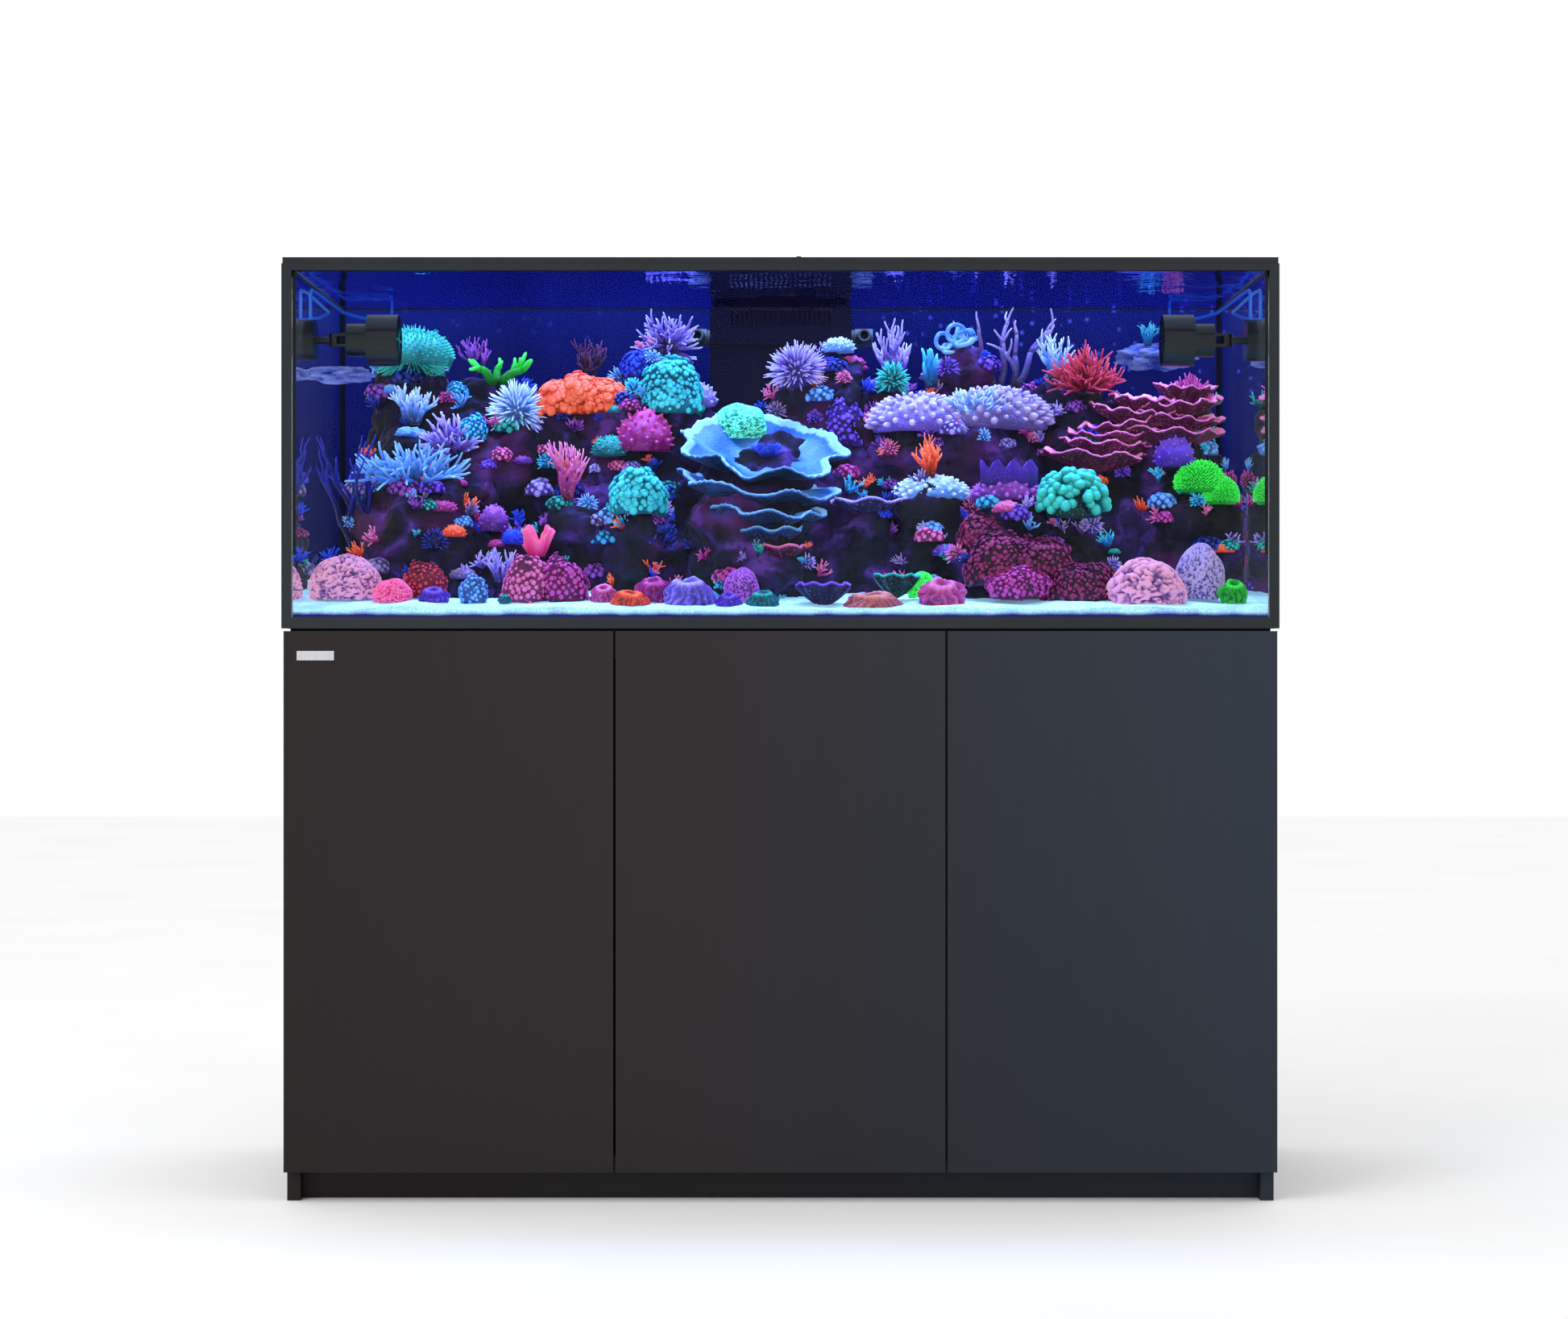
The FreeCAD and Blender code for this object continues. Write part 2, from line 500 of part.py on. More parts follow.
def make_pipes():
    bore = PIPE_RADIUS - PIPE_WALL
    foot_z = PANE_BOTTOM + PIPE_SEAT
    heights = {-PIPE_PITCH: DRAIN_STAND, PIPE_PITCH: EMERGENCY_STAND}
    stands = [pipe(PIPE_RADIUS, bore, vec(x, PIPE_Y, foot_z), FLOOR_TOP + height - foot_z, Z_AXIS)
              for x, height in heights.items()]
    save("standpipes", stands)

    riser = rod(PIPE_RADIUS, vec(0, PIPE_Y, foot_z), MANIFOLD_Z + MANIFOLD_RADIUS - foot_z, Z_AXIS)
    reach = BOX_OUT_X + BOX_WALL
    across = rod(MANIFOLD_RADIUS, vec(-reach, PIPE_Y, MANIFOLD_Z), 2 * reach, X_AXIS)
    inside = fuse([rod(bore, vec(0, PIPE_Y, foot_z), MANIFOLD_Z - foot_z, Z_AXIS),
                   rod(MANIFOLD_RADIUS - PIPE_WALL, vec(-reach, PIPE_Y, MANIFOLD_Z), 2 * reach, X_AXIS)])
    save("return_manifold", fuse([riser, across]).cut(inside))

    upper_end = PANE_BOTTOM - PIPE_SEAT
    outlet = TRAY_Z - OUTLET_DEPTH
    valve_z = TANK_BASE - VALVE_DROP
    drain_x = -PIPE_PITCH
    save("drain_pipes", [
        pipe(PIPE_RADIUS, bore, vec(drain_x, PIPE_Y, valve_z + VALVE_HALF), upper_end - valve_z - VALVE_HALF, Z_AXIS),
        pipe(PIPE_RADIUS, bore, vec(drain_x, PIPE_Y, outlet), valve_z - VALVE_HALF - outlet, Z_AXIS),
        pipe(PIPE_RADIUS, bore, vec(PIPE_PITCH, PIPE_Y, outlet), upper_end - outlet, Z_AXIS)])

    body = fuse([rod(VALVE_RADIUS, vec(drain_x, PIPE_Y, valve_z - VALVE_HALF), 2 * VALVE_HALF, Z_AXIS),
                 rod(BONNET_RADIUS, vec(drain_x, PIPE_Y - BONNET_LENGTH, valve_z), BONNET_LENGTH, Y_AXIS)])
    body = body.cut(rod(bore, vec(drain_x, PIPE_Y, valve_z - VALVE_HALF), 2 * VALVE_HALF, Z_AXIS))
    stem = rod(STEM_RADIUS, vec(drain_x, PIPE_Y - STEM_REACH, valve_z), STEM_REACH - BONNET_LENGTH + WHEEL_WIRE,
               Y_AXIS)
    save("gate_valve", fuse([body, stem]))

    wheel_y = PIPE_Y - WHEEL_REACH
    centre = vec(drain_x, wheel_y + WHEEL_WIRE, valve_z)
    rim = Part.makeTorus(WHEEL_RADIUS - WHEEL_WIRE, WHEEL_WIRE, centre, Y_AXIS)
    hub = rod(HUB_RADIUS, vec(drain_x, wheel_y, valve_z), HUB_LENGTH, Y_AXIS)
    spokes = []
    half = SPOKE_WIDTH / 2
    for turn in range(3):
        spoke = box(-half, half, wheel_y + WHEEL_WIRE - half, wheel_y + WHEEL_WIRE + half,
                    0, WHEEL_RADIUS - WHEEL_WIRE)
        spoke.rotate(vec(0, 0, 0), Y_AXIS, turn * 120)
        spoke.translate(vec(drain_x, 0, valve_z))
        spokes.append(spoke)
    save("valve_handwheel", fuse([rim, hub] + spokes))

    for side, name in ((-1, "left"), (1, "right")):
        near = side * (reach + CLEAR)
        far = near + side * NOZZLE_BARREL
        start = min(near, far)
        barrel = rod(NOZZLE_RADIUS, vec(start, PIPE_Y, MANIFOLD_Z), NOZZLE_BARREL, X_AXIS)
        spout_x = (near + far) / 2
        spout = Part.makeCone(NOZZLE_RADIUS - 1, NOZZLE_RADIUS - 5, NOZZLE_LENGTH,
                              vec(spout_x, PIPE_Y, MANIFOLD_Z), vec(0, -1, 0))
        bore_out = rod(NOZZLE_RADIUS - 8, vec(spout_x, PIPE_Y - NOZZLE_LENGTH, MANIFOLD_Z), NOZZLE_LENGTH, Y_AXIS)
        save("return_nozzle_" + name, fuse([barrel, spout]).cut(bore_out))


def make_sump():
    outer = box(SUMP_LEFT, SUMP_RIGHT, SUMP_FRONT, SUMP_REAR, DECK, DECK + SUMP_HEIGHT)
    inner = box(SUMP_LEFT + SUMP_GLASS, SUMP_RIGHT - SUMP_GLASS, SUMP_FRONT + SUMP_GLASS,
                SUMP_REAR - SUMP_GLASS, SUMP_FLOOR, DECK + SUMP_HEIGHT)
    save("sump_tank", outer.cut(inner))

    low_y = SUMP_FRONT + SUMP_GLASS
    high_y = SUMP_REAR - SUMP_GLASS
    drain_wall = SUMP_RIGHT - SUMP_GLASS - DRAIN_CHAMBER
    pump_wall = SUMP_LEFT + SUMP_GLASS + PUMP_CHAMBER
    # right face of each baffle, its foot and its top over the sump floor
    places = ((drain_wall, 0, TRAY_HEIGHT), (pump_wall + SUMP_GLASS, 0, BAFFLE_HEIGHT),
              (pump_wall + SUMP_GLASS + BUBBLE_TRAP, BUBBLE_TRAP, BAFFLE_HEIGHT + BUBBLE_TRAP),
              (pump_wall + SUMP_GLASS + 2 * BUBBLE_TRAP, 0, BAFFLE_HEIGHT))
    baffles = [box(x - SUMP_GLASS, x, low_y, high_y, SUMP_FLOOR + foot, SUMP_FLOOR + top)
               for x, foot, top in places]
    ledge_x = SUMP_RIGHT - SUMP_GLASS
    baffles.append(box(ledge_x - TRAY_LEDGE, ledge_x, low_y, high_y, TRAY_Z - TRAY_LEDGE_DEPTH, TRAY_Z))
    save("sump_baffles", baffles)

    tray = box(drain_wall - SUMP_GLASS, ledge_x - CLEAR, low_y + CLEAR, high_y - CLEAR,
               TRAY_Z, TRAY_Z + SUMP_GLASS)
    for x, name in ((-PIPE_PITCH, "left"), (PIPE_PITCH, "right")):
        tray = tray.cut(rod(CUP_RADIUS + CLEAR, vec(x, CUP_Y, TRAY_Z), SUMP_GLASS, Z_AXIS))
        foot = TRAY_Z + SUMP_GLASS - CUP_LENGTH
        cup = fuse([rod(CUP_RADIUS, vec(x, CUP_Y, foot), CUP_LENGTH, Z_AXIS),
                    rod(CUP_RIM, vec(x, CUP_Y, TRAY_Z + SUMP_GLASS), CUP_RIM_HEIGHT, Z_AXIS)])
        hollow = rod(CUP_RADIUS - CUP_WALL, vec(x, CUP_Y, foot + CUP_WALL), CUP_LENGTH + CUP_RIM_HEIGHT, Z_AXIS)
        save("filter_cup_" + name, cup.cut(hollow))
    save("filter_tray", tray)


def make_return_pump():
    foot = SUMP_FLOOR + RETURN_FOOT
    half_x = RETURN_LENGTH / 2
    half_y = RETURN_WIDTH / 2
    edge = 4.0
    body = box(RETURN_X - half_x, RETURN_X + half_x, RETURN_Y - half_y, RETURN_Y + half_y,
               foot, foot + RETURN_HEIGHT)
    body = body.makeFillet(2 * edge, body.Edges)
    intake_start = vec(RETURN_X - half_x - INTAKE_LENGTH + edge, RETURN_Y, foot + RETURN_HEIGHT / 2)
    intake = rod(INTAKE_RADIUS, intake_start, INTAKE_LENGTH, X_AXIS)
    outlet = rod(HOSE_RADIUS, vec(RETURN_X, RETURN_Y, foot + RETURN_HEIGHT - edge), 2 * HOSE_RADIUS, Z_AXIS)
    feet = [rod(RETURN_FOOT * 0.75, vec(RETURN_X + dx, RETURN_Y + dy, SUMP_FLOOR), RETURN_FOOT + edge, Z_AXIS)
            for dx in (-half_x * 0.7, half_x * 0.7) for dy in (-half_y * 0.65, half_y * 0.65)]
    save("return_pump", fuse([body, intake, outlet] + feet))

    hose_y = BACK_FACE - HOSE_RADIUS - CLEAR
    sump_top = DECK + SUMP_HEIGHT
    room = TOP_UNDER - sump_top
    outlet_top = foot + RETURN_HEIGHT - edge + 2 * HOSE_RADIUS
    route = [vec(RETURN_X, RETURN_Y, outlet_top + CLEAR),
             vec(RETURN_X, RETURN_Y, sump_top + 0.13 * room),
             vec(RETURN_X + 60, (RETURN_Y + hose_y) / 2, sump_top + 0.28 * room),
             vec(RETURN_X + 150, hose_y, sump_top + 0.33 * room),
             vec(-190, hose_y, sump_top + 0.36 * room),
             vec(-60, hose_y, sump_top + 0.44 * room),
             vec(0, PIPE_Y, sump_top + 0.62 * room),
             vec(0, PIPE_Y, PANE_BOTTOM - BULKHEAD_TAIL - 1)]
    save("return_hose", tube(route, HOSE_RADIUS, HOSE_RADIUS - PIPE_WALL))


# ---- wave pumps: built at the pivot, pointing to +X, then set on each side pane ----------
def set_on_pane(shape, side, reach):
    placed = shape.copy()
    if side > 0:
        placed.rotate(vec(0, 0, 0), Z_AXIS, 180)
    placed.translate(vec(side * (INNER_X - reach), PUMP_Y, PUMP_Z))
    return placed


def make_wave_pumps():
    reach = 45.0                     # pivot in from the pane
    disc = 16.0
    lug = 9.0
    lug_half = 6.0
    fork = 4.0
    motor_start = 20.0
    motor_end = 56.0
    pivot_pin = 3.0
    shaft = 2.0
    fork_gap = lug_half + CLEAR

    mount = fuse([rod(MOUNT_RADIUS, vec(-reach, 0, 0), disc, X_AXIS),
                  rod(lug_half, vec(-reach + disc, 0, 0), reach - disc, X_AXIS),
                  rod(lug, vec(0, 0, -lug_half), 2 * lug_half, Z_AXIS)])
    mount = mount.cut(rod(pivot_pin + RUNNING_FIT, vec(0, 0, -lug_half), 2 * lug_half, Z_AXIS))

    parts = [rod(MOTOR_RADIUS, vec(motor_start, 0, 0), motor_end - motor_start, X_AXIS)]
    for low in (fork_gap, -fork_gap - fork):
        parts.append(rod(lug, vec(0, 0, low), fork, Z_AXIS))
        parts.append(box(0, motor_start + 2, -lug, lug, low, low + fork))
    parts.append(rod(pivot_pin, vec(0, 0, -fork_gap - fork), 2 * (fork_gap + fork), Z_AXIS))
    cage_end = motor_end + CAGE_LENGTH
    parts.append(pipe(CAGE_RADIUS, CAGE_RADIUS - 2, vec(motor_end - 4, 0, 0), CAGE_LENGTH + 4, X_AXIS))
    for turn in range(4):
        for start, width in ((motor_end - 4, 4), (cage_end - 3, 3)):
            rib = box(start, start + width, -1.5, 1.5, -CAGE_RADIUS + 1, CAGE_RADIUS - 1)
            rib.rotate(vec(0, 0, 0), X_AXIS, turn * 45)
            parts.append(rib)
    pump = fuse(parts)
    pump = pump.cut(rod(shaft + RUNNING_FIT, vec(motor_end - 14, 0, 0), 14, X_AXIS))

    hub_start = motor_end + 12
    blades = [rod(8, vec(hub_start, 0, 0), 16, X_AXIS), rod(shaft, vec(motor_end - 12, 0, 0), 26, X_AXIS)]
    for turn in range(3):
        blade = box(-8, 8, -1.2, 1.2, 5, CAGE_RADIUS - 6)
        blade.rotate(vec(0, 0, 0), Z_AXIS, 35)
        blade.translate(vec(hub_start + 8, 0, 0))
        blade.rotate(vec(0, 0, 0), X_AXIS, turn * 120)
        blades.append(blade)
    propeller = fuse(blades)

    mounts = []
    cables = []
    controllers = []
    for side, name in ((-1, "left"), (1, "right")):
        mounts.append(set_on_pane(mount, side, reach))
        save("wave_pump_" + name, set_on_pane(pump, side, reach))
        save("propeller_" + name, set_on_pane(propeller, side, reach))
        cables.append(pump_cable(side, INNER_X - disc / 2))
        case_low = PORT_HEIGHT - CONTROLLER_HEIGHT - 10
        case = box(side * (SIDE_IN - CONTROLLER_THICKNESS), side * SIDE_IN, CONTROLLER_Y,
                   CONTROLLER_Y + CONTROLLER_WIDTH, case_low, case_low + CONTROLLER_HEIGHT)
        controllers.append(case.makeFillet(3, case.Edges))
    save("wave_pump_mounts", mounts)
    save("wave_pump_cables", cables)
    save("pump_controllers", controllers)


def pump_cable(side, start_x):
    """Up from the mount, back under the rim, over the back pane, down and in at the port."""
    over_z = PANE_TOP + CABLE_RADIUS + 2 * CLEAR
    behind_y = TANK_BACK + CABLE_RADIUS + CLEAR
    port_x = HALF - PORT_INSET
    inner_y = INNER_BACK - 13
    under_rim = PANE_TOP - 20
    route = [vec(side * start_x, PUMP_Y, PUMP_Z + MOUNT_RADIUS + CLEAR),
             vec(side * start_x, PUMP_Y, under_rim - 3),
             vec(side * start_x, PUMP_Y + 80, under_rim),
             vec(side * (start_x - 4), inner_y - 60, under_rim - 2),
             vec(side * (start_x - 30), inner_y - 8, under_rim - 6),
             vec(side * port_x, inner_y, under_rim - 8),
             vec(side * port_x, inner_y, over_z),
             vec(side * port_x, behind_y, over_z),
             vec(side * port_x, behind_y, PORT_HEIGHT),
             vec(side * (port_x + 2), BACK_FACE - 30, PORT_HEIGHT - 6),
             vec(side * (port_x + 35), BACK_FACE - 70, PORT_HEIGHT - 35),
             vec(side * (SIDE_IN - CONTROLLER_THICKNESS / 2), CONTROLLER_Y + CONTROLLER_WIDTH + 1,
                 PORT_HEIGHT - 50)]
    return tube(route, CABLE_RADIUS, fraction=0.26)


# ---- reef: rock and simple solids for the corals -------------------------------------------
def boulder(x, y, z, half_x, half_y, half_z):
    first = box(-half_x, half_x, -half_y, half_y, -half_z, half_z)
    second = box(-half_x, half_x, -half_x, half_x, -half_z, half_z)
    second.rotate(vec(0, 0, 0), Z_AXIS, 40)
    third = box(-half_x * 1.1, half_x * 1.1, -half_z, half_z, -half_z, half_z)
    third.rotate(vec(0, 0, 0), X_AXIS, 38)
    rock = first.common(second)
    if half_y < half_z * 1.3:
        rock = rock.common(third)
    rock.translate(vec(x, y, z))
    return rock


def dome(x, y, z, radius, height):
    """Cap of a ball, from the radius of its foot and its height."""
    ball = (radius * radius + height * height) / (2 * height)
    foot_angle = math.degrees(math.asin((ball - height) / ball))
    return Part.makeSphere(ball, vec(x, y, z + height - ball), Z_AXIS, foot_angle, 90, 360)


def vase(x, y, z, radius, height):
    return Part.makeCone(radius * 0.35, radius, height, vec(x, y, z), Z_AXIS)


def make_reef(sand):
    # laid out for this inside size, then stretched with the tank
    across = INNER_X / REEF_HALF_LENGTH
    back = (INNER_BACK - INNER_FRONT) / REEF_DEPTH
    up = (PANE_TOP - FLOOR_TOP) / REEF_HEIGHT

    def spot(x, y, z):
        return x * across, INNER_FRONT + (y + REEF_DEPTH / 2) * back, FLOOR_TOP + z * up

    # middle of each rock (x, y, z over the floor) and its half sizes
    rocks = ((-545, 63, 112, 150, 120, 95), (-430, 113, 197, 120, 95, 85), (-575, 143, 252, 85, 75, 80),
             (-300, 93, 122, 130, 110, 95), (-250, 123, 222, 105, 80, 85), (-70, 13, 107, 140, 110, 90),
             (-60, 43, 207, 105, 75, 75), (130, 43, 127, 125, 100, 95), (160, 73, 227, 100, 75, 70),
             (330, 73, 122, 135, 115, 90), (340, 113, 232, 120, 90, 85), (530, 83, 112, 130, 115, 85),
             (520, 133, 222, 115, 90, 85))
    overflow = box(-BOX_OUT_X - 20, BOX_OUT_X + 20, BOX_OUT_Y - 20, INNER_BACK, FLOOR_TOP, TANK_TOP)
    boulders = [boulder(*spot(x, y, z), half_x * across, half_y * back, half_z * up)
                for x, y, z, half_x, half_y, half_z in rocks]
    rock = fuse(boulders).cut(sand).cut(overflow)
    rock = rock.cut(box(-HALF, HALF, FRONT, BACK, 0, FLOOR_TOP + SAND_FRONT))
    pieces = [solid for solid in rock.Solids if solid.Volume > 1e4]
    save("rockwork", pieces)

    # shape, foot (x, y, z), radius and height; feet stand in the rock or on the sand
    corals = ((vase, -590, 133, 317, 60, 90), (dome, -545, 63, 197, 75, 70), (vase, -470, 63, 262, 60, 95),
              (vase, -545, -17, 182, 95, 60), (dome, -620, 3, 162, 45, 60),
              (vase, -410, 113, 267, 50, 110), (dome, -320, 63, 202, 70, 75),
              (vase, -300, 133, 287, 60, 110), (dome, -200, 113, 292, 70, 80),
              (dome, -210, -7, 157, 60, 90), (vase, -60, -17, 252, 125, 60), (dome, -80, 63, 272, 50, 80),
              (vase, 60, 63, 232, 50, 130), (vase, 190, 93, 287, 60, 130), (dome, 240, 63, 202, 55, 80),
              (vase, 350, 113, 307, 75, 150), (dome, 330, -7, 192, 65, 55), (vase, 470, 103, 292, 75, 120),
              (vase, 590, 93, 287, 90, 70), (dome, 440, -27, 172, 70, 70), (dome, 640, 43, 182, 50, 70),
              (dome, 330, -107, 82, 90, 70), (dome, 530, -127, 22, 60, 70), (dome, 640, -117, 17, 45, 65),
              (dome, -655, -127, 22, 60, 75), (dome, -560, -187, 15, 35, 30),
              (dome, -455, -197, 15, 32, 28), (dome, -370, -187, 15, 55, 50),
              (dome, -220, -207, 14, 35, 34), (dome, -120, -197, 15, 34, 38),
              (dome, -20, -207, 14, 32, 30), (dome, 80, -217, 14, 42, 32), (dome, 200, -197, 15, 36, 36))
    taken = Part.makeCompound(pieces + [sand])
    left = []
    right = []
    for shape, x, y, z, radius, height in corals:
        coral = shape(*spot(x, y, z), radius * min(across, back), height * up).cut(taken)
        solids = [solid for solid in coral.Solids if solid.Volume > 2e3]
        taken = Part.makeCompound(taken.Solids + solids)
        (left if x < 0 else right).extend(solids)
    save("corals_left", left)
    save("corals_right", right)

    left_shelf = box(-INNER_X, -INNER_X + 95, PUMP_Y - 30, PUMP_Y + 70, PUMP_Z - 58, PUMP_Z - 46)
    shelf_end = INNER_X - SHELF_INSET
    right_shelf = box(shelf_end - SHELF_LENGTH, shelf_end, INNER_BACK - 70, INNER_BACK, PUMP_Z, PUMP_Z + 22)
    save("frag_shelves", [left_shelf, right_shelf])


os.makedirs("parts", exist_ok=True)
make_cabinet()
make_doors()
make_glass()
make_frames()
make_overflow()
sand_bed = make_sand()
make_bulkheads()
make_pipes()
make_sump()
make_return_pump()
make_wave_pumps()
make_reef(sand_bed)
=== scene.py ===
import bpy
import json
import math
import random
from mathutils import Matrix, Vector, noise


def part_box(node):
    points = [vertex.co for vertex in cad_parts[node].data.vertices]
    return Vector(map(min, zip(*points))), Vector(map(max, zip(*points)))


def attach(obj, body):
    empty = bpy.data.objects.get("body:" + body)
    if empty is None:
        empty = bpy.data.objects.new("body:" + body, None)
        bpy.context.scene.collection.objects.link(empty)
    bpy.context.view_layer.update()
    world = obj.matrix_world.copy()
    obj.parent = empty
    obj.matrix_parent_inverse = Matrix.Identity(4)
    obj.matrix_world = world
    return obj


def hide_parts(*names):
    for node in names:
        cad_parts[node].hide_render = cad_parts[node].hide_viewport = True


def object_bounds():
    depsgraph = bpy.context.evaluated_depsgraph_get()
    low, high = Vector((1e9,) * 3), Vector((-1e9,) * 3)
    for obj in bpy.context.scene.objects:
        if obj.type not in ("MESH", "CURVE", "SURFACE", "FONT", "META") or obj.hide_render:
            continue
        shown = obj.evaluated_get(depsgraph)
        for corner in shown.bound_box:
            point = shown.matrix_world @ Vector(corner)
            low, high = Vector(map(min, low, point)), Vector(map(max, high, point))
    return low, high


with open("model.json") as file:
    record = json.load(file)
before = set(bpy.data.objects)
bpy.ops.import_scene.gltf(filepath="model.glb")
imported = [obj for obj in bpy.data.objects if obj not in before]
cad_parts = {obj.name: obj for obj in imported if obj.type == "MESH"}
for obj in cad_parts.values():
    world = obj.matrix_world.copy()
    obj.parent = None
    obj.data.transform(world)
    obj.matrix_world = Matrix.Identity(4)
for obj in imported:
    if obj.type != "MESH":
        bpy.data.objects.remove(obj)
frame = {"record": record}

CAD_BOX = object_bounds()
BODY = "stand_and_tank"

# Places in the reef are metres from the middle of the tank floor: x right, y back, z up.
SAND_LOW, SAND_HIGH = (Vector(corner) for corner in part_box("sand_bed"))
FLOOR = Vector((0.0, 0.0, SAND_LOW.z))
INNER_FRONT, INNER_BACK = SAND_LOW.y, SAND_HIGH.y
INNER_X = SAND_HIGH.x
OVERFLOW_LOW, OVERFLOW_HIGH = (Vector(corner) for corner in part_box("overflow_box"))
RIM_LOW, RIM_HIGH = (Vector(corner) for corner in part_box("top_frame_rails"))
SAND_FRONT_HEIGHT = 0.015
SAND_RISE = SAND_HIGH.z - SAND_LOW.z - SAND_FRONT_HEIGHT


def srgb(red, green, blue):
    """A colour on the usual 0 to 255 scale, as the linear values that shaders take."""
    def linear(value):
        value /= 255.0
        return value / 12.92 if value <= 0.04045 else ((value + 0.055) / 1.055) ** 2.4
    return (linear(red), linear(green), linear(blue), 1.0)


# ---- shader helpers -----------------------------------------------------------------------
class Shader:
    """Builds one node material, a node at a time."""

    def __init__(self, name):
        self.material = bpy.data.materials.new(name)
        self.material.use_nodes = True
        self.nodes = self.material.node_tree.nodes
        self.links = self.material.node_tree.links
        self.surface = self.nodes["Principled BSDF"]
        self.place = self.nodes.new("ShaderNodeTexCoord").outputs["Object"]

    def set(self, **values):
        for key, value in values.items():
            self.surface.inputs[key.replace("_", " ")].default_value = value

    def plug(self, output, name):
        self.links.new(output, self.surface.inputs[name])

    def mapped(self, stretch):
        node = self.nodes.new("ShaderNodeMapping")
        node.inputs["Scale"].default_value = stretch
        self.links.new(self.place, node.inputs["Vector"])
        return node.outputs["Vector"]

    def noise(self, scale, detail=4.0, stretch=None, distortion=0.0):
        node = self.nodes.new("ShaderNodeTexNoise")
        node.inputs["Scale"].default_value = scale
        node.inputs["Detail"].default_value = detail
        node.inputs["Distortion"].default_value = distortion
        self.links.new(self.mapped(stretch) if stretch else self.place, node.inputs["Vector"])
        return node.outputs["Fac"]

    def cells(self, scale):
        node = self.nodes.new("ShaderNodeTexVoronoi")
        node.inputs["Scale"].default_value = scale
        self.links.new(self.place, node.inputs["Vector"])
        return node.outputs["Distance"]

    def axis(self, name):
        node = self.nodes.new("ShaderNodeSeparateXYZ")
        self.links.new(self.place, node.inputs[0])
        return node.outputs[name]

    def attribute(self, name):
        node = self.nodes.new("ShaderNodeAttribute")
        node.attribute_name = name
        return node.outputs["Fac"]

    def ramp(self, factor, *stops):
        node = self.nodes.new("ShaderNodeValToRGB")
        elements = node.color_ramp.elements
        while len(elements) < len(stops):
            elements.new(0.5)
        for element, (position, colour) in zip(elements, stops):
            element.position = position
            element.color = colour
        self.links.new(factor, node.inputs["Fac"])
        return node.outputs["Color"]

    def math(self, operation, first, second=0.0):
        node = self.nodes.new("ShaderNodeMath")
        node.operation = operation
        for socket, value in zip(node.inputs, (first, second)):
            if isinstance(value, (int, float)):
                socket.default_value = value
            else:
                self.links.new(value, socket)
        return node.outputs[0]

    def remap(self, value, low, high, to_low=0.0, to_high=1.0):
        node = self.nodes.new("ShaderNodeMapRange")
        self.links.new(value, node.inputs["Value"])
        for key, number in (("From Min", low), ("From Max", high), ("To Min", to_low), ("To Max", to_high)):
            node.inputs[key].default_value = number
        return node.outputs[0]

    def mix(self, factor, first, second, blend="MIX"):
        node = self.nodes.new("ShaderNodeMix")
        node.data_type = "RGBA"
        node.blend_type = blend
        for socket, value in ((node.inputs[0], factor), (node.inputs[6], first), (node.inputs[7], second)):
            if isinstance(value, (int, float, tuple)):
                socket.default_value = value
            else:
                self.links.new(value, socket)
        return node.outputs[2]

    def bump(self, height, strength, distance):
        node = self.nodes.new("ShaderNodeBump")
        node.inputs["Strength"].default_value = strength
        node.inputs["Distance"].default_value = distance
        self.links.new(height, node.inputs["Height"])
        self.links.new(node.outputs["Normal"], self.surface.inputs["Normal"])


BLACK = (0.0, 0.0, 0.0, 1.0)
WHITE = (1.0, 1.0, 1.0, 1.0)


def plastic(name, colour, roughness, grain=900.0, relief=0.0002, specular=0.35, contrast=0.25):
    """Moulded or extruded plastic, board and rubber: fine grain and slow uneven gloss."""
    shader = Shader(name)
    fine = shader.noise(grain, 3.0)
    slow = shader.noise(3.0, 3.0)
    dark = tuple(c * (1 - contrast) for c in colour[:3]) + (1.0,)
    light = tuple(min(1.0, c * (1 + contrast)) for c in colour[:3]) + (1.0,)
    both = shader.math("ADD", shader.math("MULTIPLY", fine, 0.35), shader.math("MULTIPLY", slow, 0.65))
    shader.plug(shader.ramp(both, (0.3, dark), (0.7, light)), "Base Color")
    shader.plug(shader.remap(slow, 0.3, 0.7, roughness - 0.05, roughness + 0.07), "Roughness")
    shader.bump(fine, 0.35, relief)
    shader.set(Specular_IOR_Level=specular)
    return shader.material


def laminate():
    """Dark satin laminate with a fine printed grain; the shift from warm at the left to cooler and bluer at the
    right, and the lightening towards the top, are painted light.
    """
    shader = Shader("dark_laminate")
    # Warm at the left, cooler and bluer at the right: painted light across the cabinet.
    across = shader.remap(shader.axis("X"), -INNER_X, INNER_X)
    tone = shader.ramp(across, (0.0, srgb(34, 29, 29)), (0.45, srgb(39, 36, 38)), (0.72, srgb(37, 41, 49)),
                       (1.0, srgb(40, 47, 58)))
    # Darker low down and lighter towards the top: painted light from above.
    painted_top_light = shader.remap(shader.axis("Z"), 0.0, 0.9, 0.82, 1.08)
    grain = shader.noise(260.0, 5.0, stretch=(1.0, 1.0, 0.02))
    fine = shader.noise(1500.0, 2.0)
    level = shader.math("MULTIPLY", painted_top_light, shader.remap(grain, 0.3, 0.7, 0.965, 1.035))
    shader.plug(shader.mix(1.0, tone, level, "MULTIPLY"), "Base Color")
    shader.plug(shader.remap(shader.noise(2.2, 3.0), 0.3, 0.7, 0.42, 0.54), "Roughness")
    shader.bump(shader.math("ADD", grain, shader.math("MULTIPLY", fine, 0.5)), 0.12, 0.0002)
    shader.set(Specular_IOR_Level=0.16)
    return shader.material


def metal(name, colour, roughness):
    shader = Shader(name)
    brushed = shader.noise(700.0, 3.0, stretch=(1.0, 1.0, 0.05))
    darker = tuple(c * 0.8 for c in colour[:3]) + (1.0,)
    shader.plug(shader.ramp(brushed, (0.3, darker), (0.7, colour)), "Base Color")
    shader.plug(shader.remap(brushed, 0.3, 0.7, roughness - 0.06, roughness + 0.08), "Roughness")
    shader.bump(brushed, 0.2, 0.0001)
    shader.set(Metallic=1.0)
    return shader.material


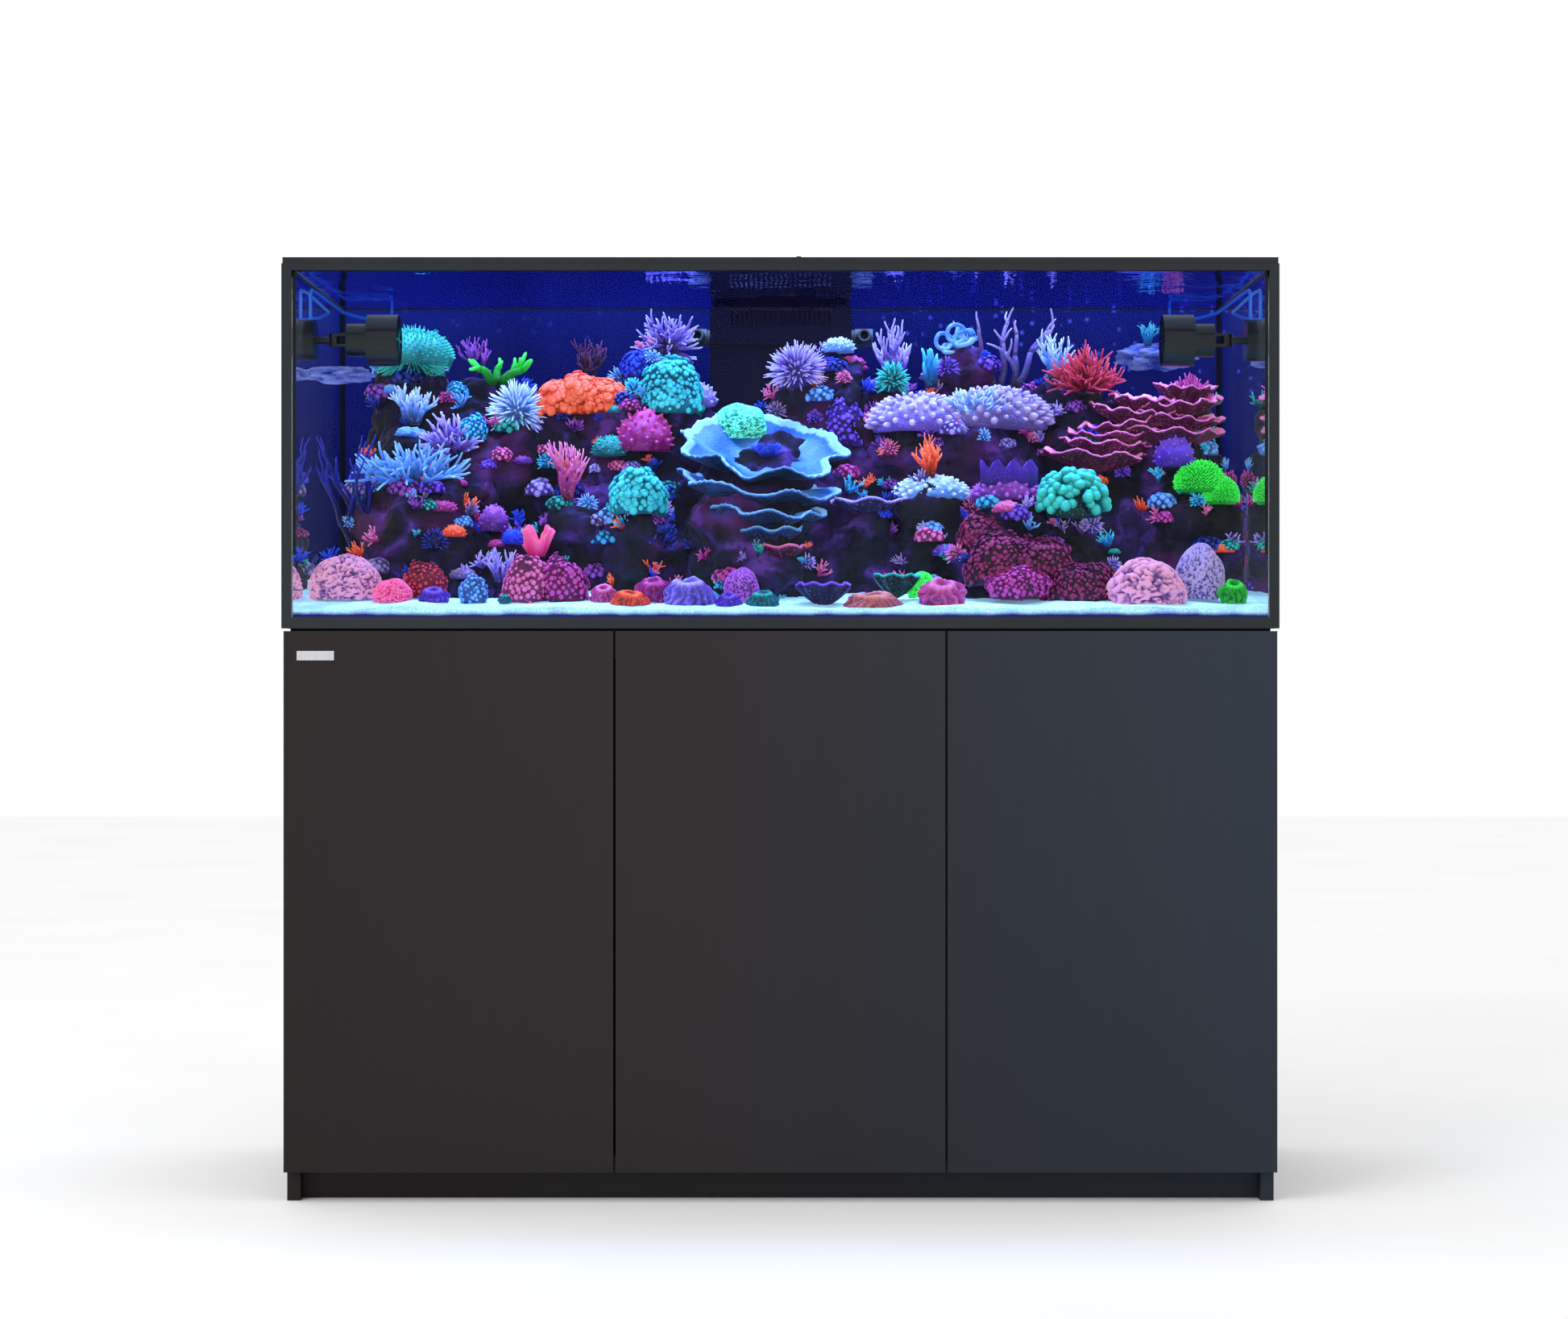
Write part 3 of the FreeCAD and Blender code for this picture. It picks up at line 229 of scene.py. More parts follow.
def clear_sheet(name, tint, straight, grazing, turns_mirror=(0.5, 0.82), roughness=0.02, relief=None,
                mirrored=(0.95, 0.97, 1.0, 1.0)):
    """Glass or a water surface: see-through from the front, a mirror past the angle where water mirrors."""
    shader = Shader(name)
    nodes, links = shader.nodes, shader.links
    through = nodes.new("ShaderNodeBsdfTransparent")
    through.inputs["Color"].default_value = tint
    mirror = nodes.new("ShaderNodeBsdfGlossy")
    mirror.inputs["Roughness"].default_value = roughness
    mirror.inputs["Color"].default_value = mirrored
    weight = nodes.new("ShaderNodeLayerWeight")
    weight.inputs["Blend"].default_value = 0.5
    share = shader.remap(weight.outputs["Facing"], *turns_mirror, straight, grazing)
    smudge = shader.remap(shader.noise(6.0, 4.0), 0.45, 0.75, 0.0, 0.0015)
    share = shader.math("ADD", share, smudge)
    if relief:
        scale, distance = relief
        node = nodes.new("ShaderNodeBump")
        node.inputs["Strength"].default_value = 0.6
        node.inputs["Distance"].default_value = distance
        links.new(shader.noise(scale, 3.0), node.inputs["Height"])
        links.new(node.outputs["Normal"], mirror.inputs["Normal"])
    mix = nodes.new("ShaderNodeMixShader")
    links.new(share, mix.inputs[0])
    links.new(through.outputs[0], mix.inputs[1])
    links.new(mirror.outputs[0], mix.inputs[2])
    links.new(mix.outputs[0], nodes["Material Output"].inputs["Surface"])
    nodes.remove(shader.surface)
    return shader.material


def backdrop_film():
    """The film behind the back pane, glowing with painted blue tank light: navy low down, brighter above, with
    patches of painted light under the surface and painted shade behind the overflow box.
    """
    shader = Shader("back_film_painted_glow")
    height = shader.remap(shader.axis("Z"), FLOOR.z, RIM_HIGH.z)
    drift = shader.noise(3.0, 4.0, stretch=(1.0, 1.0, 0.6), distortion=0.6)
    # Navy low down and brighter towards the top: painted light from above the tank.
    blend = shader.math("ADD", shader.math("MULTIPLY", height, 0.75), shader.math("MULTIPLY", drift, 0.35))
    base = shader.ramp(blend, (0.15, srgb(1, 2, 38)), (0.45, srgb(2, 5, 74)), (0.75, srgb(1, 9, 96)),
                       (0.98, srgb(6, 26, 138)))
    # Patches of painted light, high up and more towards the right.
    painted_light_cells = shader.remap(shader.cells(52.0), 0.10, 0.26, 1.0, 0.0)
    streaks = shader.noise(60.0, 3.0, stretch=(1.0, 1.0, 0.12))
    rightward = shader.remap(shader.axis("X"), 0.0, 0.3, 0.0, 0.3)
    high = shader.remap(shader.math("ADD", height, rightward), 0.82, 1.15)
    lights = shader.math("MULTIPLY", shader.math("MULTIPLY", painted_light_cells, high), shader.remap(streaks, 0.4, 0.6))
    # Painted shade on the film behind the overflow box.
    overflow_painted_shade = shader.remap(shader.math("ABSOLUTE", shader.axis("X"), 0.0), OVERFLOW_HIGH.x - 0.004,
                                   OVERFLOW_HIGH.x, 1.0, 0.0)
    colour = shader.mix(lights, base, srgb(70, 80, 235))
    colour = shader.mix(overflow_painted_shade, colour, srgb(6, 2, 26))
    # Darkened base colour with the same colour glowing: painted blue tank light.
    shader.plug(shader.mix(0.85, colour, BLACK), "Base Color")
    shader.plug(colour, "Emission Color")
    shader.set(Emission_Strength=0.95, Roughness=0.5, Specular_IOR_Level=0.1)
    shader.bump(streaks, 0.1, 0.0005)
    return shader.material


def sand_material():
    shader = Shader("reef_sand")
    grains = shader.cells(420.0)
    patches = shader.noise(18.0, 5.0)
    fine = shader.noise(600.0, 2.0)
    shade = shader.math("ADD", shader.math("MULTIPLY", grains, 0.6), shader.math("MULTIPLY", fine, 0.5))
    pale = shader.ramp(shade, (0.2, srgb(120, 175, 215)), (0.5, srgb(170, 225, 250)),
                       (0.8, srgb(235, 252, 255)))
    tint = shader.ramp(patches, (0.35, srgb(70, 110, 230)), (0.55, srgb(160, 225, 250)),
                       (0.7, srgb(190, 200, 255)))
    # Dark navy over the lowest part of the bed, fading out between 10 and 16 mm up: painted shade low in the
    # sand.
    foot = shader.math("ADD", shader.axis("Z"), shader.math("MULTIPLY", patches, 0.008))
    low_painted_shade = shader.remap(foot, FLOOR.z + 0.010, FLOOR.z + 0.016, 1.0, 0.0)
    colour = shader.mix(low_painted_shade, shader.mix(0.35, pale, tint), srgb(28, 22, 110))
    shader.plug(colour, "Base Color")
    # The sand colour also glows: painted blue tank light.
    shader.plug(colour, "Emission Color")
    shader.set(Emission_Strength=0.28, Roughness=0.85)
    shader.bump(shade, 0.7, 0.0015)
    return shader.material


def rock_material():
    """Porous rock: near-black hollows as painted shade, blue and purple crusts and a few pink coralline
    patches, glowing faintly as painted tank light.
    """
    shader = Shader("porous_rock")
    pores = shader.cells(70.0)
    crust = shader.noise(16.0, 6.0, distortion=0.8)
    patches = shader.noise(9.0, 4.0)
    base = shader.ramp(crust, (0.34, srgb(3, 2, 10)), (0.5, srgb(16, 8, 40)), (0.6, srgb(46, 22, 92)),
                       (0.72, srgb(104, 56, 160)))
    pink = shader.ramp(patches, (0.55, BLACK), (0.68, srgb(100, 22, 100)), (0.8, srgb(50, 80, 200)))
    colour = shader.mix(0.55, base, pink, "ADD")
    # Pores darkened towards black: painted shade in the hollows.
    pore_painted_shade = shader.remap(pores, 0.02, 0.35, 0.15, 1.0)
    colour = shader.mix(1.0, colour, pore_painted_shade, "MULTIPLY")
    # Darkened base colour with the colour glowing: painted tank light.
    shader.plug(shader.mix(0.5, colour, BLACK), "Base Color")
    shader.plug(colour, "Emission Color")
    shader.set(Emission_Strength=0.25, Roughness=0.9)
    shader.bump(shader.math("ADD", pores, crust), 0.8, 0.004)
    return shader.material


def coral_material(name, body, tip, glow, pattern):
    """Living coral: near black at the low end of a per-point value (painted shade in hollows, grooves and
    undersides), body colour to tip colour above it, polyps, and a glow painted in for the blue tank light and
    the coral's fluorescence under it.
    """
    shader = Shader("coral_" + name)
    shade_to_tip = shader.attribute("shade_to_tip")
    polyps = shader.cells(pattern)
    drift = shader.noise(22.0, 4.0)
    level = shader.math("ADD", shade_to_tip, shader.math("MULTIPLY", shader.math("SUBTRACT", drift, 0.5), 0.5))
    # Near-black stop at the low end: painted shade in hollows, grooves and undersides.
    deep = tuple(c * 0.08 for c in body[:3]) + (1.0,)
    colour = shader.ramp(level, (0.02, deep), (0.4, body), (0.95, tip))
    dots = shader.remap(polyps, 0.08, 0.3, 0.4, 0.0)
    colour = shader.mix(dots, colour, tip)
    # Darkened base colour with the colour glowing: painted blue tank light and fluorescence.
    shader.plug(shader.mix(0.45, colour, BLACK), "Base Color")
    shader.plug(colour, "Emission Color")
    shader.plug(shader.remap(drift, 0.3, 0.7, 0.38, 0.62), "Roughness")
    shader.set(Emission_Strength=glow * 1.15, Specular_IOR_Level=0.3)
    shader.bump(polyps, 0.6, 0.0012)
    return shader.material


# ---- mesh building ---------------------------------------------------------------------------
class Form:
    """A mesh being built: points, faces and, at each point, a shade-to-tip value (0 in hollows, drawn as
    painted shade; 1 at tips, in tip colour).
    """

    def __init__(self):
        self.points = []
        self.faces = []
        self.shade_to_tip = []

    def grid(self, rows, closed=True, cap_start=True, cap_end=True):
        """Rows of (point, shade-to-tip value), all the same length; each row is a ring when closed."""
        base = len(self.points)
        count = len(rows[0])
        for row in rows:
            for point, shade_to_tip in row:
                self.points.append(point)
                self.shade_to_tip.append(shade_to_tip)
        around = count if closed else count - 1
        for r in range(len(rows) - 1):
            for c in range(around):
                n = (c + 1) % count
                low, high = base + r * count, base + (r + 1) * count
                self.faces.append((low + c, low + n, high + n, high + c))
        if closed and cap_start:
            self.faces.append(tuple(base + c for c in reversed(range(count))))
        if closed and cap_end:
            last = base + (len(rows) - 1) * count
            self.faces.append(tuple(last + c for c in range(count)))

    def tube(self, path, radii, sides=7, low=0.0, high=1.0):
        rows = []
        side = Vector((0.3, 1.0, 0.2))
        for index, (point, radius) in enumerate(zip(path, radii)):
            before = path[max(index - 1, 0)]
            after = path[min(index + 1, len(path) - 1)]
            along = (after - before).normalized()
            side = (side - along * side.dot(along)).normalized()
            other = along.cross(side)
            share = low + (high - low) * index / (len(path) - 1)
            ring = []
            for step in range(sides):
                angle = 2 * math.pi * step / sides
                ring.append((point + (side * math.cos(angle) + other * math.sin(angle)) * radius, share))
            rows.append(ring)
        self.grid(rows)

    def piece(self, name, material, replaces=None, slot="coral"):
        mesh = bpy.data.meshes.new(name)
        mesh.from_pydata([tuple(p) for p in self.points], [], self.faces)
        mesh.attributes.new("shade_to_tip", "FLOAT", "POINT").data.foreach_set("value", self.shade_to_tip)
        mesh.polygons.foreach_set("use_smooth", [True] * len(mesh.polygons))
        mesh.materials.append(material)
        mesh.update()
        thing = bpy.data.objects.new(name, mesh)
        bpy.context.scene.collection.objects.link(thing)
        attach(thing, BODY)
        if replaces:
            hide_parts(*replaces)
        return thing


def place(x, y, z):
    return FLOOR + Vector((x, y, z))


def scaled(way, size):
    return Vector((way.x * size[0], way.y * size[1], way.z * size[2]))


def scatter(chance):
    return Vector((chance.uniform(-1, 1), chance.uniform(-1, 1), chance.uniform(-1, 1)))


def noise_place(chance):
    """A random place to start reading the noise from, so that no two pieces are alike."""
    return Vector((chance.random(), chance.random(), chance.random())) * 9


def sand_height(y):
    share = (y - INNER_FRONT) / (INNER_BACK - INNER_FRONT)
    return SAND_FRONT_HEIGHT + share * SAND_RISE


def hemisphere(count, reach=1.0):
    """Evenly spread directions over the upper half of a ball; reach over 1 goes below the middle."""
    golden = math.pi * (3 - math.sqrt(5))
    for index in range(count):
        z = 1 - reach * (index + 0.5) / count
        flat = math.sqrt(max(0.0, 1 - z * z))
        yield Vector((math.cos(golden * index) * flat, math.sin(golden * index) * flat, z))


def ball(form, centre, size, relief, rings=28, sides=56, reach=0.62):
    """A closed dome or ball; relief(direction) gives (how far out, shade-to-tip value)."""
    rows = []
    for ring in range(rings + 1):
        polar = math.pi * reach * (1 - ring / rings)
        row = []
        for step in range(sides):
            angle = 2 * math.pi * step / sides
            flat = max(math.sin(polar), 0.004)
            way = Vector((flat * math.cos(angle), flat * math.sin(angle), math.cos(polar)))
            out, shade_to_tip = relief(way)
            row.append((centre + scaled(way, size) * out, shade_to_tip))
        rows.append(row)
    form.grid(rows)


# ---- coral shapes: each takes a form, a foot and a size, and a seeded random source --------------
def branches(form, start, way, length, radius, levels, chance, forks=3, spread=0.6, rise=0.3, shrink=0.72,
             bend=0.25, sides=6, shade_to_tip=0.0):
    """A branching coral: each stem bends a little, tapers, ends round and forks."""
    steps = 4
    path = [start.copy()]
    heading = way.normalized()
    step_length = length / steps
    for _ in range(steps):
        wander = scatter(chance) * bend
        heading = (heading + wander + Vector((0, 0, rise * 0.3))).normalized()
        path.append(path[-1] + heading * step_length)
    last = levels <= 1
    radii = [radius * (1 - (0.5 if last else 0.25) * i / steps) for i in range(steps + 1)]
    top = min(1.0, shade_to_tip + 1.0 / max(levels, 1) * 0.6 + 0.1)
    if last:
        path.append(path[-1] + heading * radius * 0.5)
        radii.append(radius * 0.15)
        top = 1.0
    # Stems start low on the ramp and end at tip colour: painted shade deep in the colony.
    form.tube(path, radii, sides, shade_to_tip, top)
    if last:
        return
    for index in range(forks):
        turn = 2 * math.pi * (index + chance.random() * 0.7) / forks
        side = heading.orthogonal().normalized()
        side.rotate(Matrix.Rotation(turn, 3, heading))
        new_way = (heading + side * spread * chance.uniform(0.6, 1.3) + Vector((0, 0, rise * 0.5))).normalized()
        at = path[-1] if index == 0 else path[chance.choice((2, 3, 4))]
        branches(form, at, new_way, length * shrink * chance.uniform(0.8, 1.15), radii[-1] * 0.85, levels - 1,
                 chance, forks, spread, rise, shrink, bend, sides, top * 0.8)


def bush(form, centre, size, chance, stems=26, twig=0.0035, levels=2, forks=3, reach=1.0):
    """A round bushy colony: many short branching stems from the middle outwards."""
    for way in hemisphere(stems, reach):
        start = centre + scaled(way, size) * 0.15
        out = scaled(way, size)
        branches(form, start, out, out.length * 0.55 * chance.uniform(0.8, 1.1), twig, levels, chance,
                 forks, 0.7, 0.15, 0.75, 0.2, 5)


def brush(form, centre, size, chance, needles=260, thick=0.0016):
    """A spiky ball: a core and needle bases in painted shade, and thin pointed needles."""
    ball(form, centre, tuple(s * 0.55 for s in size), lambda way: (1.0, 0.1), 12, 24, 0.9)
    for way in hemisphere(needles, 1.6):
        jitter = scatter(chance) * 0.16
        way = (way + jitter).normalized()
        out = scaled(way, size)
        grow = chance.uniform(0.8, 1.05)
        path = [centre + out * 0.45, centre + out * 0.75 * grow, centre + out * grow]
        form.tube(path, [thick * 1.3, thick, thick * 0.3], 4, 0.2, 1.0)


def polyp_dome(form, centre, size, chance, count=120, polyp=0.006, reach=0.62):
    """A mound covered with round raised polyps, each with a sunken middle."""
    shift = noise_place(chance)

    def lump(way):
        return 1.0 + 0.28 * noise.noise(way * 1.6 + shift) + 0.12 * noise.noise(way * 4 + shift)

    # The mound between the polyps and the polyp bases sit low on the ramp: painted shade.
    ball(form, centre, size, lambda way: (lump(way), 0.12), 22, 44, reach)
    polyp *= 0.62
    for way in hemisphere(int(count * 2.4), 1.25):
        way = (way + scatter(chance) * 0.05).normalized()
        out = scaled(way, size) * lump(way)
        up = Vector((way.x / size[0], way.y / size[1], way.z / size[2])).normalized()
        wide = polyp * chance.uniform(0.6, 1.4)
        at = centre + out
        path = [at - up * wide * 0.4, at + up * wide * 0.5, at + up * wide * 0.75, at + up * wide * 0.62,
                at + up * wide * 0.35]
        form.tube(path, [wide * 0.7, wide, wide * 0.72, wide * 0.4, wide * 0.1], 8, 0.2, 1.0)


def brain(form, centre, size, chance, folds=7.0, depth=0.13, rings=44, sides=96):
    """A mound with winding folded ridges."""
    shift = noise_place(chance)

    def relief(way):
        swirl = noise.noise(way * folds + shift) + 0.5 * noise.noise(way * folds * 2.1 + shift)
        ridge = 1.0 - min(1.0, abs(swirl) * 4.0)
        lump = 0.12 * noise.noise(way * 1.7 + shift)
        # Grooves get low values: painted shade in the folds.
        return 1.0 + lump + depth * (1 - ridge), 1.0 - ridge * 0.95
    ball(form, centre, size, relief, rings, sides)


def ringed(form, centre, size, chance, folds=14, depth=0.1):
    """A fleshy single coral: a puffed ring with radial folds round a sunken mouth."""
    shift = noise_place(chance)
    facing = Matrix.Rotation(math.radians(chance.uniform(18, 36)), 3, "X")
    size = (size[0], size[1], size[2] * 0.66)

    def relief(way):
        way = facing.inverted() @ way
        angle = math.atan2(way.y, way.x)
        flat = math.hypot(way.x, way.y)
        fold = 0.5 + 0.5 * math.sin(angle * folds + 5 * noise.noise(way * 2.5 + shift))
        mouth = max(0.0, 1 - flat / 0.3) if way.z > 0 else 0.0
        rim = math.exp(-((flat - 0.45) / 0.16) ** 2) * (way.z > 0)
        lump = 0.22 * noise.noise(way * 2.2 + shift)
        # Troughs between the folds get lower values: painted shade.
        return (1.0 + depth * (fold - 0.5) * flat + lump - 0.4 * mouth + 0.1 * rim,
                0.15 + 0.35 * fold * flat + 0.5 * rim + 0.3 * lump)
    ball(form, centre, size, relief, 34, 84, 0.75)


def anemone(form, centre, size, chance, count=90, knob=0.008):
    """Short fat tentacles with swollen ends over a mound."""
    # The mound under the tentacles sits low on the ramp: painted shade.
    ball(form, centre, tuple(s * 0.75 for s in size), lambda way: (1.0, 0.05), 12, 26)
    for way in hemisphere(count, 1.1):
        out = scaled(way, size)
        wide = knob * chance.uniform(0.8, 1.2)
        tilt = Vector((chance.uniform(-1, 1), chance.uniform(-1, 1), chance.uniform(0, 1))) * wide * 0.8
        steps = ((0.62, 0.35), (0.8, 0.5), (0.92, 0.95), (1.0, 1.1), (1.07, 0.85), (1.11, 0.3))
        path = [centre + out * along + tilt * along for along, _ in steps]
        form.tube(path, [wide * share for _, share in steps], 8, 0.1, 1.0)


def fuzz(form, centre, size, chance, count=700, hair=0.0011):
    """A dome covered with short fine hairs."""
    # The dome under the hairs sits low on the ramp: painted shade.
    ball(form, centre, size, lambda way: (1.0, 0.3), 20, 40)
    for way in hemisphere(count, 1.2):
        out = scaled(way, size)
        lean = scatter(chance) * size[0] * 0.06
        form.tube([centre + out * 0.98, centre + out * 1.1 + lean * 0.5, centre + out * 1.17 + lean],
                  [hair * 1.5, hair, hair * 0.3], 4, 0.4, 1.0)


def plate(form, centre, radius, cup, thick, chance, lobes=9, tilt=(0.0, 0.0), squash=0.75, rings=16, sides=120):
    """A thin plate coral: radial ribs, a scalloped wavy rim that turns up, and a thicker middle."""
    phase = chance.uniform(0, 6)
    turn = Matrix.Rotation(tilt[0], 3, "X") @ Matrix.Rotation(tilt[1], 3, "Y")

    def surface(share, angle, under):
        edge = 1 + 0.07 * math.sin(lobes * angle + phase) + 0.035 * math.sin(lobes * 2.6 * angle)
        edge += 0.10 * noise.noise(Vector((math.cos(angle), math.sin(angle), phase)) * 1.3)
        flat = radius * share * edge
        wave = 0.055 * radius * share * math.sin(lobes * angle + phase * 2 + share * 2)
        rib = 0.012 * radius * math.sin(58 * angle) * share
        high = cup * share ** 2 + wave + (rib if not under else 0)
        drop = thick * (1.15 - share) * 1.6 + thick * 0.35 if under else 0.0
        local = Vector((flat * math.cos(angle), flat * math.sin(angle) * squash, high - drop))
        local.rotate(turn)
        return centre + local

    rows = []
    for under, order in ((True, range(1, rings + 1)), (False, range(rings, 0, -1))):
        for ring in order:
            share = ring / rings
            row = []
            for step in range(sides):
                angle = 2 * math.pi * step / sides
                swirl = 0.5 + 0.5 * math.sin(angle * 2 + share * 9 + phase)
                # Undersides get 0: painted shade under the plate.
                shade_to_tip = 0.0 if under else 0.35 + 0.2 * swirl + (0.5 if share > 0.9 else 0.0)
                row.append((surface(share, angle, under), shade_to_tip))
            rows.append(row)
    form.grid(rows)


def ruffle(form, centre, size, chance, waves=7, rows_count=10, sides=150, leaves=3):
    """Ruffled sheets standing in nested rings."""
    for leaf in range(leaves):
        scale = 1 - leaf * 0.27
        phase = chance.uniform(0, 6)
        inner = []
        outer = []
        for row in range(rows_count + 1):
            up = row / rows_count
            inside = []
            outside = []
            for step in range(sides):
                angle = 2 * math.pi * step / sides
                fold = 0.16 * math.sin(waves * angle + phase) + 0.07 * math.sin(waves * 2.7 * angle)
                ripple = 1 + fold * up
                flat = (0.45 + 0.55 * up ** 0.8) * scale * ripple
                top = size[2] * up * (0.75 + 0.25 * math.sin(waves * 0.5 * angle + phase)) * (1 + leaf * 0.12)
                # Each sheet runs from painted shade at its foot to tip colour at its top edge.
                for sheet, inset in ((outside, 0.0), (inside, 0.035)):
                    reach = flat - inset
                    sheet.append((centre + Vector((size[0] * reach * math.cos(angle),
                                                   size[1] * reach * math.sin(angle), top)), 0.1 + 0.9 * up))
            outer.append(outside)
            inner.append(inside)
        form.grid(outer + inner[::-1])


def leather(form, foot, size, chance):
    """A leather coral: a stout stalk with a folded cap and short polyps."""
    cap = foot + Vector((0, 0, size[2] * 0.55))
    # The stalk under the cap sits low on the ramp: painted shade.
    form.tube([foot - Vector((0, 0, size[2] * 0.3)), foot, foot + Vector((0, 0, size[2] * 0.35)), cap],
              [size[0] * 0.3, size[0] * 0.24, size[0] * 0.26, size[0] * 0.5], 20, 0.0, 0.2)

    def relief(way):
        angle = math.atan2(way.y, way.x)
        flat = math.hypot(way.x, way.y)
        # The cap top is lighter than its sides: painted light from above.
        return 1 + 0.07 * flat * math.sin(angle * 7) + 0.04 * noise.noise(way * 3), 0.5 + 0.3 * way.z
    dome_size = (size[0], size[1], size[2] * 0.45)
    ball(form, cap, dome_size, relief, 18, 60, 0.6)
    for way in hemisphere(300, 1.05):
        out = scaled(way, dome_size)
        form.tube([cap + out * 0.99, cap + out * 1.03 + way * 0.003, cap + out * 1.03 + way * 0.0055],
                  [0.0012, 0.0016, 0.0006], 5, 0.6, 1.0)


def thicket(form, foot, size, chance, stems=5, twig=0.006, levels=3, lean=0.6, rise=0.35, forks=3, bend=0.2,
            spread=0.6, sides=7):
    """Several branching stems from one foot, about size wide and high in all."""
    share = sum(0.72 ** level for level in range(levels))
    for index in range(stems):
        turn = 2 * math.pi * (index + chance.random()) / stems
        way = Vector((math.cos(turn) * lean * size[0], math.sin(turn) * lean * size[1], size[2]))
        start = foot + Vector((way.x, way.y, 0)) * 0.25
        branches(form, start, way, size[2] / share * chance.uniform(0.85, 1.1), twig, levels, chance, forks,
                 spread, rise, 0.72, bend, sides)


def rings(form, centre, size, chance, count=6, thick=0.0035):
    """Loose loops of a soft tube-like coral."""
    for _ in range(count):
        middle = centre + Vector((chance.uniform(-1, 1) * size[0], chance.uniform(-1, 1) * size[1],
                                  chance.uniform(0, 1) * size[2]))
        wide = chance.uniform(0.35, 0.6) * size[0]
        turn = Matrix.Rotation(chance.uniform(0.6, 1.5), 3, "X")
        turn = turn @ Matrix.Rotation(chance.uniform(-0.6, 0.6), 3, "Y")
        path = [middle + turn @ Vector((math.cos(a), math.sin(a), 0.12 * math.sin(3 * a))) * wide
                for a in (2 * math.pi * step / 24 for step in range(24))]
        form.tube(path, [thick] * len(path), 7, 0.3, 0.9)


def clam(form, centre, size, chance):
    """A clam: two shells with wavy lips and a patterned mantle between them."""
    for side in (-1, 1):
        rows = []
        # Shells start near the bottom of the ramp at the foot: painted shade there.
        for ring in range(9):
            up = ring / 8
            row = []
            for step in range(61):
                along = step / 60 * 2 - 1
                wave = math.sin(along * 11) * 0.16 * up
                wide = size[1] * (0.15 + 0.75 * up + wave) * math.sqrt(max(0.02, 1 - along * along))
                point = centre + Vector((size[0] * along, side * wide, size[2] * (up + wave)))
                row.append((point, 0.1 + 0.3 * up))
            rows.append(row)
        for ring in range(5):
            back = ring / 4
            row = []
            for step in range(61):
                along = step / 60 * 2 - 1
                wave = math.sin(along * 11) * 0.16 * (1 - back)
                wide = size[1] * (0.9 + wave) * (1 - back * 0.95) * math.sqrt(max(0.02, 1 - along * along))
                row.append((centre + Vector((size[0] * along, side * wide, size[2] * (1 + wave - 0.25 * back))),
                            0.6 + 0.4 * (1 - back)))
            rows.append(row)
        form.grid(rows, closed=False)


def crust(form, centre, size, chance, knobs=40):
    """An encrusting patch: a low lumpy sheet with small knobs."""
    # Lighter on top than on the sides: painted light from above.
    ball(form, centre, size,
         lambda way: (1.0 + 0.2 * noise.noise(way * 3.5 + centre * 9), 0.4 + 0.4 * way.z), 20, 44, 0.6)
    for way in hemisphere(knobs, 1.1):
        out = scaled(way, size)
        wide = size[0] * chance.uniform(0.05, 0.09)
        form.tube([centre + out * 0.95, centre + out * 1.08, centre + out * 1.16],
                  [wide, wide * 0.8, wide * 0.25], 7, 0.5, 1.0)


def stacked_plates(form, centre, size, chance, count=5, drift=(0.02, 0.0), tilt=0.12):
    """Plates one above another, each a little smaller and shifted."""
    for index in range(count):
        share = index / max(count - 1, 1)
        at = centre + Vector((drift[0] * index, drift[1] * index, size[2] * share))
        plate(form, at, size[0] * (1 - 0.3 * share) * chance.uniform(0.85, 1.1), size[0] * 0.22, 0.006, chance,
              chance.choice((7, 8, 10)), (tilt * chance.uniform(0.5, 1.4), chance.uniform(-0.15, 0.15)),
              size[1] / size[0], 12, 90)


# ---- coral colours ----------------------------------------------------------------------------
LOOKS = {
    # name: body and tip colours, strength of the painted glow, pattern scale
    "ice": ((90, 140, 235), (215, 235, 255), 0.35, 220.0),
    "cyan": ((20, 120, 200), (90, 225, 250), 0.35, 180.0),
    "sky": ((70, 130, 230), (150, 205, 255), 0.35, 120.0),
    "plate": ((30, 95, 190), (150, 205, 255), 0.34, 320.0),
    "mint": ((10, 140, 125), (110, 245, 205), 0.45, 300.0),
    "turquoise": ((5, 135, 165), (90, 235, 235), 0.42, 300.0),
    "mauvepink": ((120, 70, 150), (250, 165, 205), 0.32, 160.0),
    "frosted": ((40, 60, 170), (170, 180, 250), 0.3, 150.0),
    "maroon": ((70, 8, 60), (190, 60, 120), 0.3, 240.0),
    "darkblue": ((6, 8, 90), (30, 40, 190), 0.3, 260.0),
    "ultramarine": ((15, 35, 190), (50, 90, 250), 0.4, 260.0),
    "navy": ((12, 20, 110), (50, 80, 220), 0.3, 200.0),
    "lilac": ((105, 80, 200), (205, 190, 255), 0.35, 200.0),
    "violet": ((70, 30, 170), (150, 100, 250), 0.35, 200.0),
    "purple": ((80, 25, 130), (190, 100, 225), 0.3, 180.0),
    "magenta": ((130, 20, 110), (235, 90, 190), 0.35, 160.0),
    "pink": ((185, 60, 140), (255, 150, 205), 0.35, 170.0),
    "hotpink": ((215, 30, 110), (255, 110, 170), 0.45, 260.0),
    "red": ((150, 20, 60), (240, 80, 110), 0.35, 240.0),
    "orange": ((215, 60, 35), (255, 130, 90), 0.5, 200.0),
    "salmon": ((190, 95, 110), (255, 170, 160), 0.35, 160.0),
    "teal": ((10, 95, 110), (60, 205, 190), 0.35, 200.0),
    "green": ((5, 150, 30), (70, 250, 90), 0.55, 260.0),
    "mauve": ((95, 75, 150), (190, 165, 225), 0.3, 260.0),
    "brown": ((45, 22, 50), (120, 60, 110), 0.2, 200.0),
}
MATERIALS = {name: coral_material(name, srgb(*body), srgb(*tip), glow, pattern)
             for name, (body, tip, glow, pattern) in LOOKS.items()}
